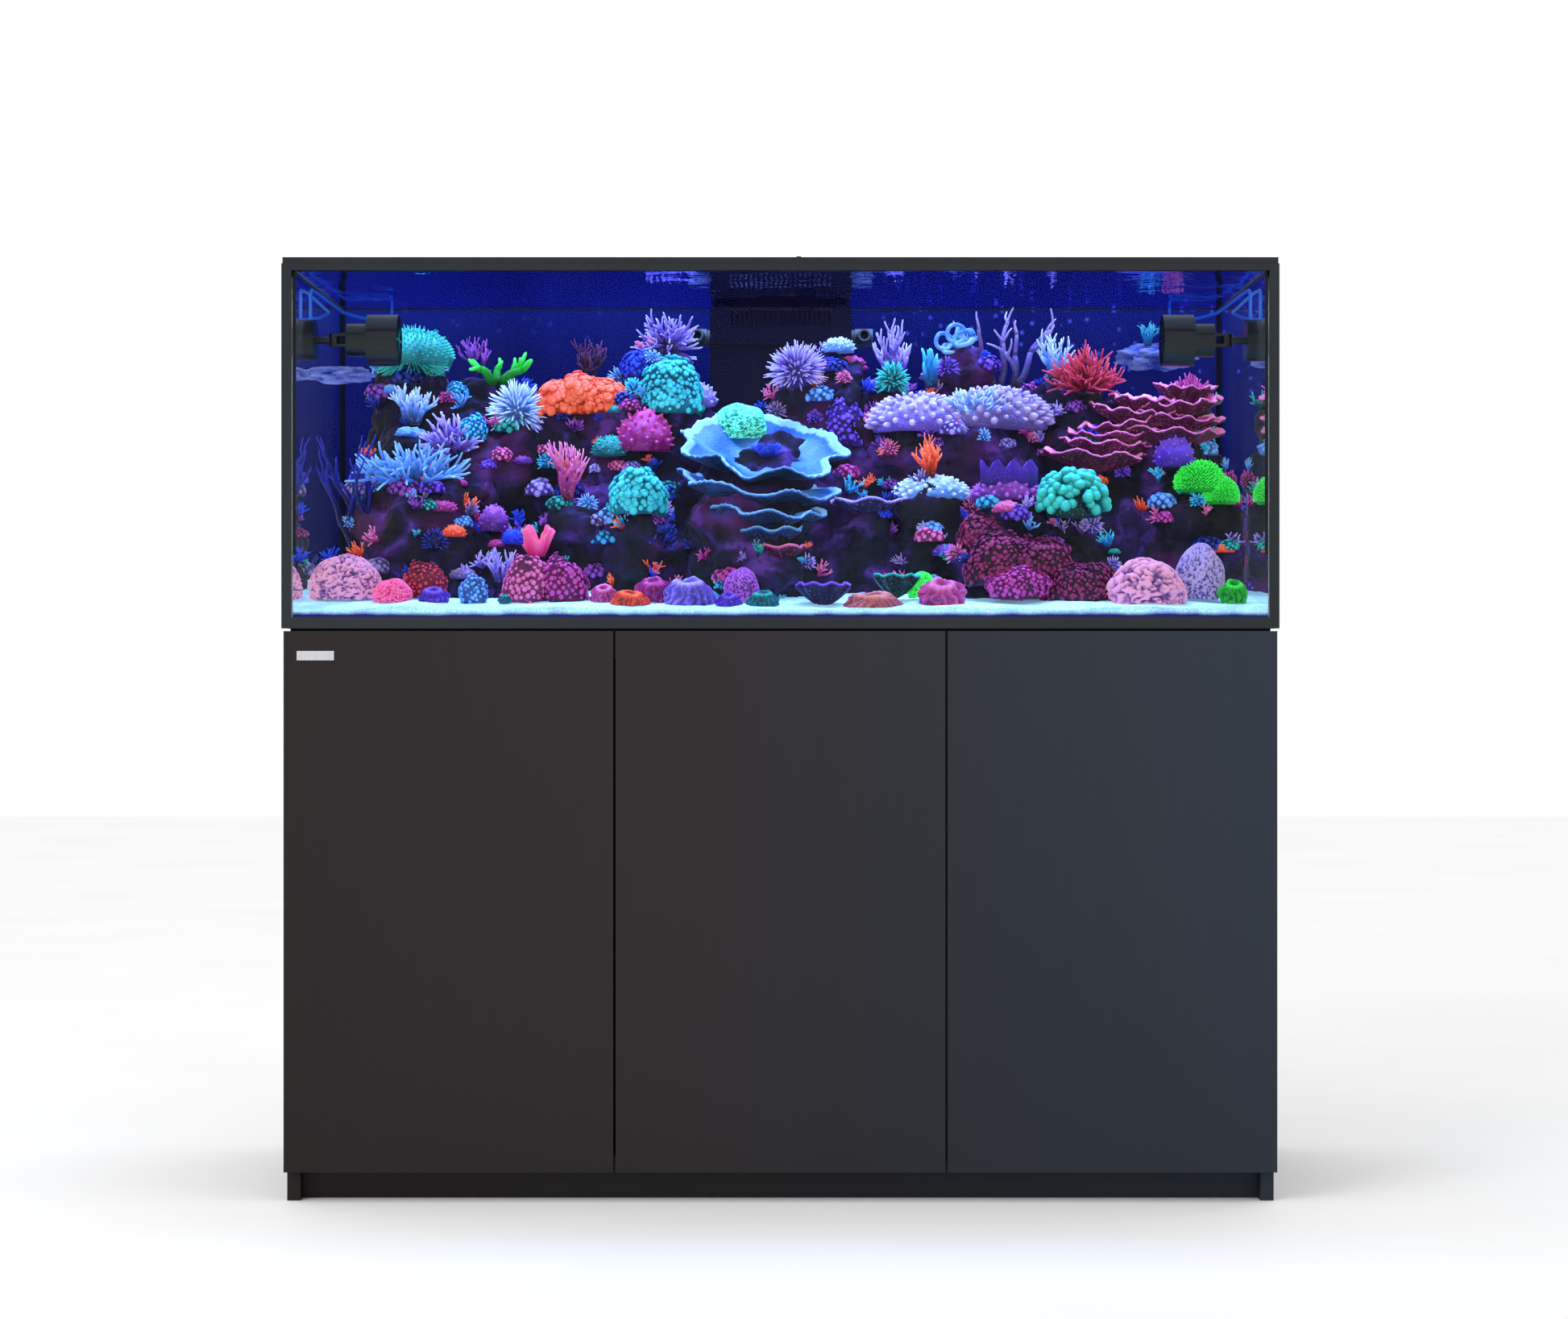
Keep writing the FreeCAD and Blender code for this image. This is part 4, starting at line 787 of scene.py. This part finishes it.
SUPPORTS = []


def keep_inside(points):
    """No point passes the glass or the floor of the tank."""
    gap = 0.004
    for point in points:
        point.x = max(gap - INNER_X, min(INNER_X - gap, point.x))
        point.y = max(INNER_FRONT + gap, min(INNER_BACK - gap, point.y))
        point.z = max(FLOOR.z + gap, point.z)


def coral(name, shape, at, size, look, replaces=None, supported=True, **options):
    """One coral colony; a colony above the sand also asks for rock under it."""
    form = Form()
    foot = place(*at)
    shape(form, foot, size, random.Random(name), **options)
    keep_inside(form.points)
    if supported:
        SUPPORTS.append((at, max(size[0], size[1])))
    return form.piece("coral_" + name, MATERIALS[look], replaces)


def plate_coral(form, centre, size, chance, **options):
    plate(form, centre, size[0], size[2], 0.009, chance, squash=size[1] / size[0], **options)


# ---- the reef -----------------------------------------------------------------------------------
def left_reef():
    coral("toadstool", leather, (-0.592, 0.05, 0.375), (0.062, 0.055, 0.09), "teal")
    coral("toadstool_polyps", brush, (-0.592, 0.05, 0.425), (0.066, 0.056, 0.052), "teal", needles=900,
          thick=0.0012)
    coral("finger_leather", thicket, (-0.455, 0.08, 0.385), (0.045, 0.03, 0.065), "green", stems=4, twig=0.008,
          levels=2, lean=0.9, bend=0.45)
    coral("left_twigs", thicket, (-0.49, 0.09, 0.40), (0.03, 0.03, 0.06), "purple", twig=0.003)
    coral("left_staghorn", thicket, (-0.587, 0.0, 0.315), (0.05, 0.045, 0.06), "ice", stems=8, twig=0.0055)
    coral("left_dots", polyp_dome, (-0.52, 0.05, 0.365), (0.016, 0.016, 0.02), "cyan", count=26, polyp=0.004)
    coral("blue_cluster", polyp_dome, (-0.487, -0.03, 0.295), (0.02, 0.02, 0.03), "cyan", count=40,
          polyp=0.005)
    coral("lilac_bush", bush, (-0.52, -0.03, 0.265), (0.062, 0.05, 0.065), "lilac", stems=30, twig=0.0042)
    coral("cyan_table", bush, (-0.575, -0.06, 0.215), (0.10, 0.075, 0.062), "sky", stems=46, twig=0.0046)
    coral("gorgonian", thicket, (-0.668, -0.05, 0.10), (0.05, 0.03, 0.19), "darkblue", stems=4, twig=0.0055,
          levels=3, lean=0.35, spread=0.45, bend=0.3)
    coral("spiky_brush", brush, (-0.42, 0.0, 0.335), (0.05, 0.045, 0.052), "ice")
    coral("magenta_patch", crust, (-0.53, -0.09, 0.175), (0.022, 0.018, 0.014), "magenta")
    coral("peach_patch", crust, (-0.51, -0.10, 0.135), (0.018, 0.016, 0.014), "orange")
    coral("purple_patch", crust, (-0.45, -0.08, 0.15), (0.022, 0.02, 0.03), "purple")
    coral("blue_patch", crust, (-0.42, -0.09, 0.125), (0.016, 0.015, 0.018), "ultramarine")
    for index, shift in enumerate((-0.035, 0.0, 0.036)):
        coral("orange_lobes_%d" % index, polyp_dome, (-0.32 + shift, 0.02, 0.345 + 0.012 * (index == 1)),
              (0.032, 0.03, 0.035), "orange", count=60, polyp=0.011)
    coral("brown_twigs", thicket, (-0.31, 0.08, 0.38), (0.035, 0.03, 0.075), "brown", twig=0.0035, stems=6)
    coral("pink_tree", thicket, (-0.335, -0.06, 0.19), (0.03, 0.03, 0.095), "pink", twig=0.0045, stems=5)
    coral("teal_bits", crust, (-0.272, -0.01, 0.27), (0.026, 0.022, 0.024), "teal")


def middle_reef():
    coral("lilac_ball", bush, (-0.183, 0.08, 0.445), (0.055, 0.05, 0.055), "lilac", stems=40, twig=0.0036,
          reach=1.5)
    coral("blue_ball", polyp_dome, (-0.226, 0.05, 0.405), (0.027, 0.027, 0.034), "ultramarine", count=60)
    coral("cyan_lump", polyp_dome, (-0.172, 0.02, 0.355), (0.046, 0.042, 0.065), "turquoise", count=150,
          polyp=0.0075)
    coral("pale_stone", crust, (-0.14, 0.05, 0.355), (0.035, 0.03, 0.03), "lilac")
    coral("magenta_crust", crust, (-0.217, 0.0, 0.285), (0.042, 0.04, 0.05), "magenta", knobs=70)
    coral("cyan_plume", brush, (-0.235, 0.02, 0.37), (0.02, 0.02, 0.022), "cyan", needles=120)
    coral("green_dome", brain, (-0.066, 0.0, 0.305), (0.04, 0.035, 0.038), "mint", folds=14.0)
    coral("knobbly_dome", polyp_dome, (-0.225, -0.08, 0.185), (0.042, 0.038, 0.05), "turquoise", count=90,
          polyp=0.009)
    coral("dark_ball", bush, (-0.196, -0.06, 0.115), (0.046, 0.042, 0.05), "navy", stems=44, twig=0.004)
    coral("plate_top", plate_coral, (-0.035, -0.06, 0.25), (0.128, 0.10, 0.034), "plate",
          ("corals_left",), lobes=7, tilt=(0.52, 0.10), rings=24)
    coral("plate_middle", plate_coral, (-0.04, -0.09, 0.198), (0.118, 0.08, 0.02), "plate", lobes=6,
          tilt=(0.22, 0.12))
    coral("plate_low", plate_coral, (-0.02, -0.11, 0.163), (0.085, 0.06, 0.014), "plate", lobes=7,
          tilt=(0.16, 0.08))
    coral("plate_base", plate_coral, (-0.014, -0.115, 0.135), (0.056, 0.045, 0.012), "plate", lobes=7,
          tilt=(0.1, 0.0))
    coral("plate_foot", plate_coral, (0.0, -0.115, 0.105), (0.04, 0.034, 0.012), "pink", lobes=6)
    coral("plate_fold", ruffle, (-0.02, -0.065, 0.255), (0.024, 0.02, 0.022), "navy", leaves=2)
    coral("lilac_brush", brush, (0.026, 0.03, 0.40), (0.053, 0.045, 0.05), "lilac", needles=300)
    coral("white_knob", crust, (0.094, 0.07, 0.44), (0.025, 0.022, 0.018), "ice")
    coral("dark_trunk", thicket, (0.05, 0.06, 0.30), (0.05, 0.04, 0.14), "violet", stems=4, twig=0.010,
          lean=0.7)
    coral("violet_tree", thicket, (0.184, 0.09, 0.385), (0.045, 0.04, 0.095), "lilac", stems=6, twig=0.0055)
    coral("violet_knobs", polyp_dome, (0.102, 0.02, 0.30), (0.028, 0.025, 0.06), "violet", count=60)
    coral("teal_brush", brush, (0.179, 0.03, 0.385), (0.03, 0.028, 0.034), "teal", needles=180)
    coral("rock_ledge", plate_coral, (0.142, -0.05, 0.185), (0.062, 0.05, 0.006), "lilac", lobes=6)


def right_reef():
    coral("hand", thicket, (0.241, 0.03, 0.375), (0.03, 0.02, 0.062), "cyan", stems=5, twig=0.006, levels=2)
    coral("loops", rings, (0.284, 0.05, 0.44), (0.026, 0.02, 0.03), "sky")
    coral("tall_antlers", thicket, (0.364, 0.05, 0.37), (0.08, 0.04, 0.15), "mauve", stems=4, twig=0.0062,
          lean=0.8,
          forks=2, bend=0.3)
    coral("short_antlers", thicket, (0.442, 0.06, 0.39), (0.03, 0.03, 0.075), "ice", stems=5, twig=0.005)
    coral("pale_crust_a", crust, (0.22, 0.0, 0.315), (0.075, 0.05, 0.045), "lilac", knobs=110)
    coral("pale_crust_b", crust, (0.34, 0.01, 0.32), (0.085, 0.05, 0.05), "mauve", knobs=130)
    coral("pale_bush", bush, (0.31, -0.02, 0.33), (0.06, 0.035, 0.04), "ice", stems=34, twig=0.004)
    coral("orange_twigs", thicket, (0.235, -0.07, 0.225), (0.028, 0.025, 0.065), "orange", stems=8,
          twig=0.0035)
    coral("white_stone", crust, (0.238, -0.05, 0.20), (0.055, 0.04, 0.028), "ice", knobs=90)
    coral("clam", clam, (0.357, -0.10, 0.205), (0.045, 0.03, 0.04), "violet")
    coral("clam_crust", crust, (0.357, -0.08, 0.195), (0.055, 0.04, 0.028), "purple", knobs=80)
    coral("red_bush", bush, (0.486, 0.02, 0.37), (0.066, 0.055, 0.068), "red", stems=64, twig=0.0034)
    coral("pink_plates", stacked_plates, (0.50, -0.01, 0.25), (0.085, 0.07, 0.09), "pink", ("corals_right",),
          count=6,
          drift=(0.016, 0.004))
    coral("pink_plates_right", stacked_plates, (0.62, 0.0, 0.29), (0.08, 0.065, 0.07), "pink", count=4,
          drift=(0.008, 0.006))
    coral("lilac_crown", bush, (0.655, 0.04, 0.35), (0.045, 0.04, 0.045), "magenta", stems=40, twig=0.0035)
    coral("purple_lobe", crust, (0.622, -0.04, 0.255), (0.03, 0.028, 0.036), "violet")
    coral("bubble_tips", anemone, (0.455, -0.10, 0.175), (0.055, 0.045, 0.055), "teal", count=110)
    coral("red_mound", polyp_dome, (0.345, -0.13, 0.075), (0.06, 0.05, 0.06), "maroon", count=200, polyp=0.006)
    coral("red_shoulder", polyp_dome, (0.315, -0.10, 0.125), (0.034, 0.03, 0.04), "maroon", count=110,
          polyp=0.006)
    coral("purple_mound", polyp_dome, (0.405, -0.14, 0.08), (0.045, 0.045, 0.048), "maroon", count=140,
          polyp=0.006)
    coral("purple_foot", polyp_dome, (0.37, -0.18, 0.045), (0.05, 0.035, 0.034), "magenta", count=120,
          polyp=0.005)
    coral("mauve_mound", polyp_dome, (0.465, -0.17, 0.042), (0.052, 0.045, 0.046), "maroon", count=170,
          polyp=0.005)
    coral("green_fuzz", fuzz, (0.662, -0.05, 0.215), (0.036, 0.03, 0.034), "green")
    coral("green_fuzz_lower", fuzz, (0.694, -0.05, 0.195), (0.026, 0.028, 0.03), "green")
    coral("ledge_twigs", thicket, (0.65, 0.225, 0.46), (0.03, 0.025, 0.045), "pink", supported=False,
          twig=0.003)
    coral("ledge_cyan", thicket, (0.61, 0.225, 0.46), (0.02, 0.02, 0.04), "cyan", supported=False, twig=0.003)


def on_sand(*place_and_look, **options):
    coral(*place_and_look, supported=False, **options)


def sand_corals():
    on_sand("left_brain", brain, (-0.672, -0.15, 0.05), (0.05, 0.042, 0.046), "mauvepink", folds=6.0)
    on_sand("pink_button", brain, (-0.594, -0.20, 0.036), (0.027, 0.025, 0.024), "hotpink", folds=9.0)
    on_sand("red_button", polyp_dome, (-0.55, -0.16, 0.05), (0.033, 0.03, 0.04), "red", count=70, polyp=0.004)
    on_sand("violet_button", ringed, (-0.529, -0.215, 0.034), (0.022, 0.02, 0.022), "violet")
    on_sand("blue_button", polyp_dome, (-0.47, -0.21, 0.036), (0.022, 0.02, 0.03), "sky", count=44,
            polyp=0.004)
    on_sand("teal_button", ringed, (-0.421, -0.22, 0.03), (0.01, 0.01, 0.012), "teal")
    on_sand("pink_sprig", thicket, (-0.437, -0.12, 0.06), (0.03, 0.025, 0.05), "lilac", twig=0.0035)
    coral("pink_fan", ruffle, (-0.381, -0.09, 0.10), (0.024, 0.02, 0.045), "hotpink", leaves=2)
    on_sand("buttons_a", polyp_dome, (-0.39, -0.19, 0.042), (0.034, 0.032, 0.05), "pink", count=70,
            polyp=0.006)
    on_sand("buttons_b", polyp_dome, (-0.335, -0.185, 0.045), (0.036, 0.034, 0.048), "magenta", count=80)
    on_sand("pink_cushion", ringed, (-0.271, -0.20, 0.036), (0.021, 0.02, 0.026), "pink")
    on_sand("orange_cushion", ringed, (-0.228, -0.23, 0.026), (0.028, 0.025, 0.028), "orange", folds=18)
    on_sand("ringed_cushion", ringed, (-0.195, -0.185, 0.042), (0.027, 0.025, 0.034), "magenta", folds=16)
    on_sand("lilac_cushion", ringed, (-0.14, -0.21, 0.034), (0.038, 0.034, 0.042), "lilac", folds=15)
    on_sand("violet_cushion", ringed, (-0.079, -0.235, 0.026), (0.018, 0.017, 0.022), "violet")
    on_sand("purple_blob", brain, (-0.06, -0.18, 0.044), (0.025, 0.024, 0.033), "purple", folds=8.0)
    on_sand("teal_cushion", ringed, (-0.026, -0.235, 0.026), (0.024, 0.022, 0.025), "teal")
    on_sand("blue_rosette", plate_coral, (0.065, -0.22, 0.038), (0.039, 0.034, 0.018), "violet", lobes=8)
    on_sand("striped_cushion", ringed, (0.14, -0.245, 0.022), (0.042, 0.03, 0.03), "salmon", folds=22)
    on_sand("teal_rosette", plate_coral, (0.178, -0.19, 0.052), (0.034, 0.03, 0.018), "teal", lobes=7)
    on_sand("green_cushion", brain, (0.219, -0.17, 0.045), (0.02, 0.02, 0.026), "green", folds=9.0)
    on_sand("pink_ring", ringed, (0.246, -0.22, 0.034), (0.036, 0.032, 0.04), "pink", folds=12, depth=0.16)
    on_sand("big_brain", brain, (0.56, -0.20, 0.04), (0.05, 0.04, 0.045), "mauvepink", folds=4.5, depth=0.2)
    on_sand("grey_dome", brain, (0.648, -0.15, 0.055), (0.036, 0.032, 0.055), "mauve", folds=10.0)
    on_sand("mint_button", ringed, (0.695, -0.19, 0.04), (0.022, 0.02, 0.03), "green")


def reef_rock():
    """One porous rock mass: boulders under every coral down to the sand, joined and roughened."""
    chance = random.Random(7)
    form = Form()
    for (x, y, z), wide in SUPPORTS:
        low = sand_height(y) - 0.02
        step = 0.05
        level = z - 0.045
        spread = max(0.045, wide * 0.8)
        while level > low:
            spread = min(0.10, spread * 1.12)
            back = y + 0.02 + (z - level) * 0.10 + chance.uniform(-0.01, 0.02)
            near_overflow = abs(x) < OVERFLOW_HIGH.x + 0.10
            back_limit = (OVERFLOW_LOW.y - 0.035) if near_overflow else INNER_BACK - 0.03
            middle = place(x + chance.uniform(-0.012, 0.012), min(back, back_limit - spread), level)
            shift = noise_place(chance)
            ball(form, middle, (spread, spread * 0.85, spread * 0.8),
                 lambda way: (1.0 + 0.35 * noise.noise(way * 1.8 + shift), 0.5), 10, 18, 0.995)
            level -= step
    rock = form.piece("reef_rock", rock_material(), ("rockwork",), slot="rock")
    solid = rock.modifiers.new("join", "REMESH")
    solid.mode = "VOXEL"
    solid.voxel_size = 0.006
    graph = bpy.context.evaluated_depsgraph_get()
    mesh = bpy.data.meshes.new_from_object(rock.evaluated_get(graph))
    rock.modifiers.clear()
    rock.data = mesh
    points = []
    for at, normal in [(vertex.co.copy(), vertex.normal.copy()) for vertex in mesh.vertices]:
        coarse = noise.noise(at * 22) * 0.012 + noise.noise(at * 60) * 0.006
        pore = max(0.0, noise.noise(at * 95 + Vector((3, 5, 7))) - 0.25) * 0.02
        points.append(at + normal * (coarse - pore))
    keep_inside(points)
    mesh.vertices.foreach_set("co", [value for point in points for value in point])
    mesh.update()
    mesh.polygons.foreach_set("use_smooth", [True] * len(mesh.polygons))


def rock_growth():
    """Small colonies of many kinds over the faces of the rock that look up or forward."""
    rock = bpy.data.objects["reef_rock"].data
    chance = random.Random(21)
    looks = ("violet", "purple", "magenta", "ultramarine", "cyan", "sky", "lilac", "pink", "teal", "navy",
             "mauve", "orange")
    forms = {look: Form() for look in looks}
    faces = [face for face in rock.polygons
             if face.normal.z > -0.1 and (face.normal.y < 0.15 or face.normal.z > 0.5)]
    for _ in range(560):
        face = chance.choice(faces)
        at = face.center.copy()
        if abs(at.x + 0.035) < 0.14 and at.y < 0.02 and at.z > FLOOR.z + 0.12:
            continue
        normal = (face.normal + Vector((0, 0, 0.35))).normalized()
        look = chance.choice(looks)
        form = forms[look]
        size = chance.uniform(0.010, 0.024)
        kind = chance.random()
        if kind < 0.12:
            crust(form, at, (size * 0.9, size * 0.8, size * 0.6), chance, 18)
        elif kind < 0.36:
            polyp_dome(form, at, (size * 0.9, size * 0.9, size * 0.7), chance, 16, size * 0.3)
        elif kind < 0.85:
            for _stem in range(6):
                lean = Vector((chance.uniform(-1, 1), chance.uniform(-1, 1), chance.uniform(-0.4, 0.8)))
                way = normal + lean * 0.7
                branches(form, at, way, size * 0.8, size * 0.12, 2, chance, 3, 0.8, 0.2, 0.7, 0.3, 5)
        else:
            brush(form, at + normal * size * 0.4, (size, size, size), chance, 60, 0.0011)
    for look, form in forms.items():
        keep_inside(form.points)
        form.piece("growth_" + look, MATERIALS[look])


def frag_ledges():
    """Two small rock ledges: one on the left pane under the pump, one on the back pane at the right."""
    low, high = (Vector(corner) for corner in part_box("frag_shelves"))
    form = Form()
    for centre, size in ((Vector((low.x + 0.05, low.y + 0.05, low.z + 0.006)), (0.05, 0.045, 0.012)),
                         (Vector((high.x - 0.065, high.y - 0.036, high.z - 0.012)), (0.062, 0.034, 0.022))):
        def rough(way):
            lump = 0.3 * noise.noise(way * 2.4 + centre * 6) + 0.14 * noise.noise(way * 9 + centre)
            return 1 + lump, 0.5 + lump

        ball(form, centre, size, rough, 40, 90, 0.995)
    form.piece("frag_ledges", MATERIALS["frosted"], ("frag_shelves",), slot="rock")


def sand():
    """The sand bed: a slope with soft mounds and ripples, filling the space its solid takes."""
    across, deep = 240, 100
    overflow = OVERFLOW_HIGH.x

    def height(x, y):
        mound = noise.noise(Vector((x * 5, y * 6, 1.0))) * 0.008
        mound += noise.noise(Vector((x * 17, y * 19, 4.0))) * 0.003
        grain = noise.noise(Vector((x * 160, y * 160, 9.0))) * 0.0009
        return FLOOR.z + sand_height(y) + mound + grain

    rows = []
    for row_index in range(deep + 1):
        y = INNER_FRONT + (INNER_BACK - INNER_FRONT) * row_index / deep
        places = (-INNER_X + 2 * INNER_X * step / across for step in range(across + 1))
        rows.append([(Vector((x, y, 0)), 0.5) for x in places])
    for row in rows:
        for point, _ in row:
            point.z = min(height(point.x, point.y), SAND_HIGH.z)
            if abs(point.x) < overflow and point.y > OVERFLOW_LOW.y:
                point.z = FLOOR.z + 0.002
    front = [(Vector((point.x, point.y, FLOOR.z)), 0.5) for point, _ in rows[0]]
    back = [(Vector((point.x, point.y, FLOOR.z)), 0.5) for point, _ in rows[-1]]
    form = Form()
    form.grid([front] + rows + [back], closed=False)
    form.piece("reef_sand", sand_material(), ("sand_bed",), slot="sand")


def water_surface():
    """The rippled surface, level with the lower edge of the rim."""
    level = RIM_LOW.z + 0.0015
    form = Form()
    across, deep = 120, 50
    gap = 0.004
    rows = []
    for row_index in range(deep + 1):
        y = INNER_FRONT + gap + (INNER_BACK - INNER_FRONT - 2 * gap) * row_index / deep
        row = []
        for step in range(across + 1):
            x = (-INNER_X + gap) + 2 * (INNER_X - gap) * step / across
            ripple = 0.0012 * noise.noise(Vector((x * 14, y * 14, 0.0)))
            row.append((Vector((x, y, level + ripple)), 0.5))
        rows.append(row)
    form.grid(rows, closed=False)
    material = clear_sheet("water_surface", (0.75, 0.85, 1.0, 1.0), 0.02, 1.0, (0.3, 0.6), 0.03, (30.0, 0.002),
                           (0.42, 0.45, 1.0, 1.0))
    form.piece("water_surface", material, slot="glass")


# ---- the built parts: finish for each carried-over node ------------------------------------------
def finish_nodes():
    slots = {row["slot"]: row for row in frame["record"]["materials"]}
    black = plastic("black_plastic", srgb(20, 20, 22), 0.45)
    finishes = {
        "laminate": laminate(),
        "cabinet_board": plastic("melamine_board", srgb(52, 50, 52), 0.5),
        "foam": plastic("foam_mat", srgb(14, 14, 16), 0.9, 500.0, 0.0006),
        "hinge_steel": metal("black_nickel", srgb(48, 48, 52), 0.38),
        "black_plastic": black,
        "grey_plastic": plastic("grey_plastic", srgb(95, 100, 105), 0.45),
        "badge_metal": metal("badge_metal", srgb(215, 217, 222), 0.3),
        "glass": clear_sheet("clear_glass", (0.94, 0.98, 0.985, 1.0), 0.002, 0.92),
        "back_film": backdrop_film(),
        "silicone": plastic("black_silicone", srgb(10, 10, 14), 0.35, 300.0, 0.0003),
        "frame_plastic": plastic("frame_extrusion", srgb(33, 38, 42), 0.42, 800.0, 0.0002, 0.2),
        "pvc": plastic("grey_pipe", srgb(90, 95, 102), 0.4),
        "red_plastic": plastic("red_plastic", srgb(175, 30, 24), 0.4),
        # Bright blue cords: painted blue tank light on the pump cables.
        "hose": plastic("cable_painted_blue_light", srgb(30, 110, 225), 0.4),
        "felt": plastic("needle_felt", srgb(225, 225, 218), 0.95, 350.0, 0.0008, 0.1, 0.12),
        "sand": black,
        "rock": black,
        "coral": black,
    }
    assert set(finishes) == set(slots)
    # Black acrylic with a deep blue-purple tint: the tint is a painted reflection of the blue tank light.
    overflow = plastic("overflow_black_painted_reflection", srgb(9, 5, 30), 0.3, specular=0.1)
    pump_black = plastic("pump_black", srgb(7, 9, 16), 0.22)
    hose_grey = plastic("hose_grey", srgb(38, 42, 48), 0.4)
    for part in frame["record"]["subparts"]:
        thing = bpy.data.objects.get(part["node"])
        if thing is None:
            continue
        finish = finishes[part["material_slot"]]
        if part["node"].startswith("overflow"):
            finish = overflow
        elif part["node"].startswith(("wave_pump_l", "wave_pump_r", "wave_pump_m")):
            finish = pump_black
        elif part["node"] == "return_hose":
            finish = hose_grey
        thing.data.materials.clear()
        thing.data.materials.append(finish)


# ---- studio ----------------------------------------------------------------------------------------
def studio():
    world = bpy.data.worlds.new("studio")
    bpy.context.scene.world = world
    world.use_nodes = True
    world.node_tree.nodes["Background"].inputs["Color"].default_value = WHITE
    world.node_tree.nodes["Background"].inputs["Strength"].default_value = 1.0
    bpy.context.scene.view_settings.view_transform = "Standard"

    floor_form = bpy.data.meshes.new("floor")
    reach = 12.0
    floor_form.from_pydata([(-reach, -reach, 0), (reach, -reach, 0), (reach, reach, 0), (-reach, reach, 0)], [],
                           [(0, 1, 2, 3)])
    floor = bpy.data.objects.new("floor", floor_form)
    shader = Shader("pale_floor")
    pale = shader.ramp(shader.noise(1.5), (0.3, (0.93, 0.93, 0.93, 1)), (0.7, (0.96, 0.96, 0.96, 1)))
    shader.plug(pale, "Base Color")
    shader.set(Roughness=0.8, Specular_IOR_Level=0.1)
    floor_form.materials.append(shader.material)
    bpy.context.scene.collection.objects.link(floor)

    def area(name, spot, target, size, power, colour=(1, 1, 1), spread=180.0):
        data = bpy.data.lights.new(name, "AREA")
        data.shape = "RECTANGLE"
        data.size, data.size_y = size
        data.energy = power
        data.color = colour
        data.spread = math.radians(spread)
        light = bpy.data.objects.new(name, data)
        light.location = spot
        light.rotation_euler = (Vector(target) - Vector(spot)).to_track_quat("-Z", "Y").to_euler()
        light.visible_camera = False
        light.visible_glossy = False
        bpy.context.scene.collection.objects.link(light)

    area("key", (-3.0, -4.0, 3.2), (0, 0, 0.6), (2.5, 2.5), 90)
    area("reef_light", (0, 0, RIM_HIGH.z + 0.02), (0, 0.001, 0), (1.3, 0.4), 16, (0.35, 0.5, 1.0), 80)

    camera = bpy.data.cameras.new("camera")
    camera.lens = 76.4
    camera.sensor_width = 36.0
    view = bpy.data.objects.new("camera", camera)
    view.location = (0.0054, CAD_BOX[0][1] - 5.0, 0.8172)
    view.rotation_euler = (math.radians(90), 0, 0)
    bpy.context.scene.collection.objects.link(view)
    bpy.context.scene.camera = view


studio()
finish_nodes()
left_reef()
middle_reef()
right_reef()
sand_corals()
reef_rock()
rock_growth()
frag_ledges()
sand()
water_surface()
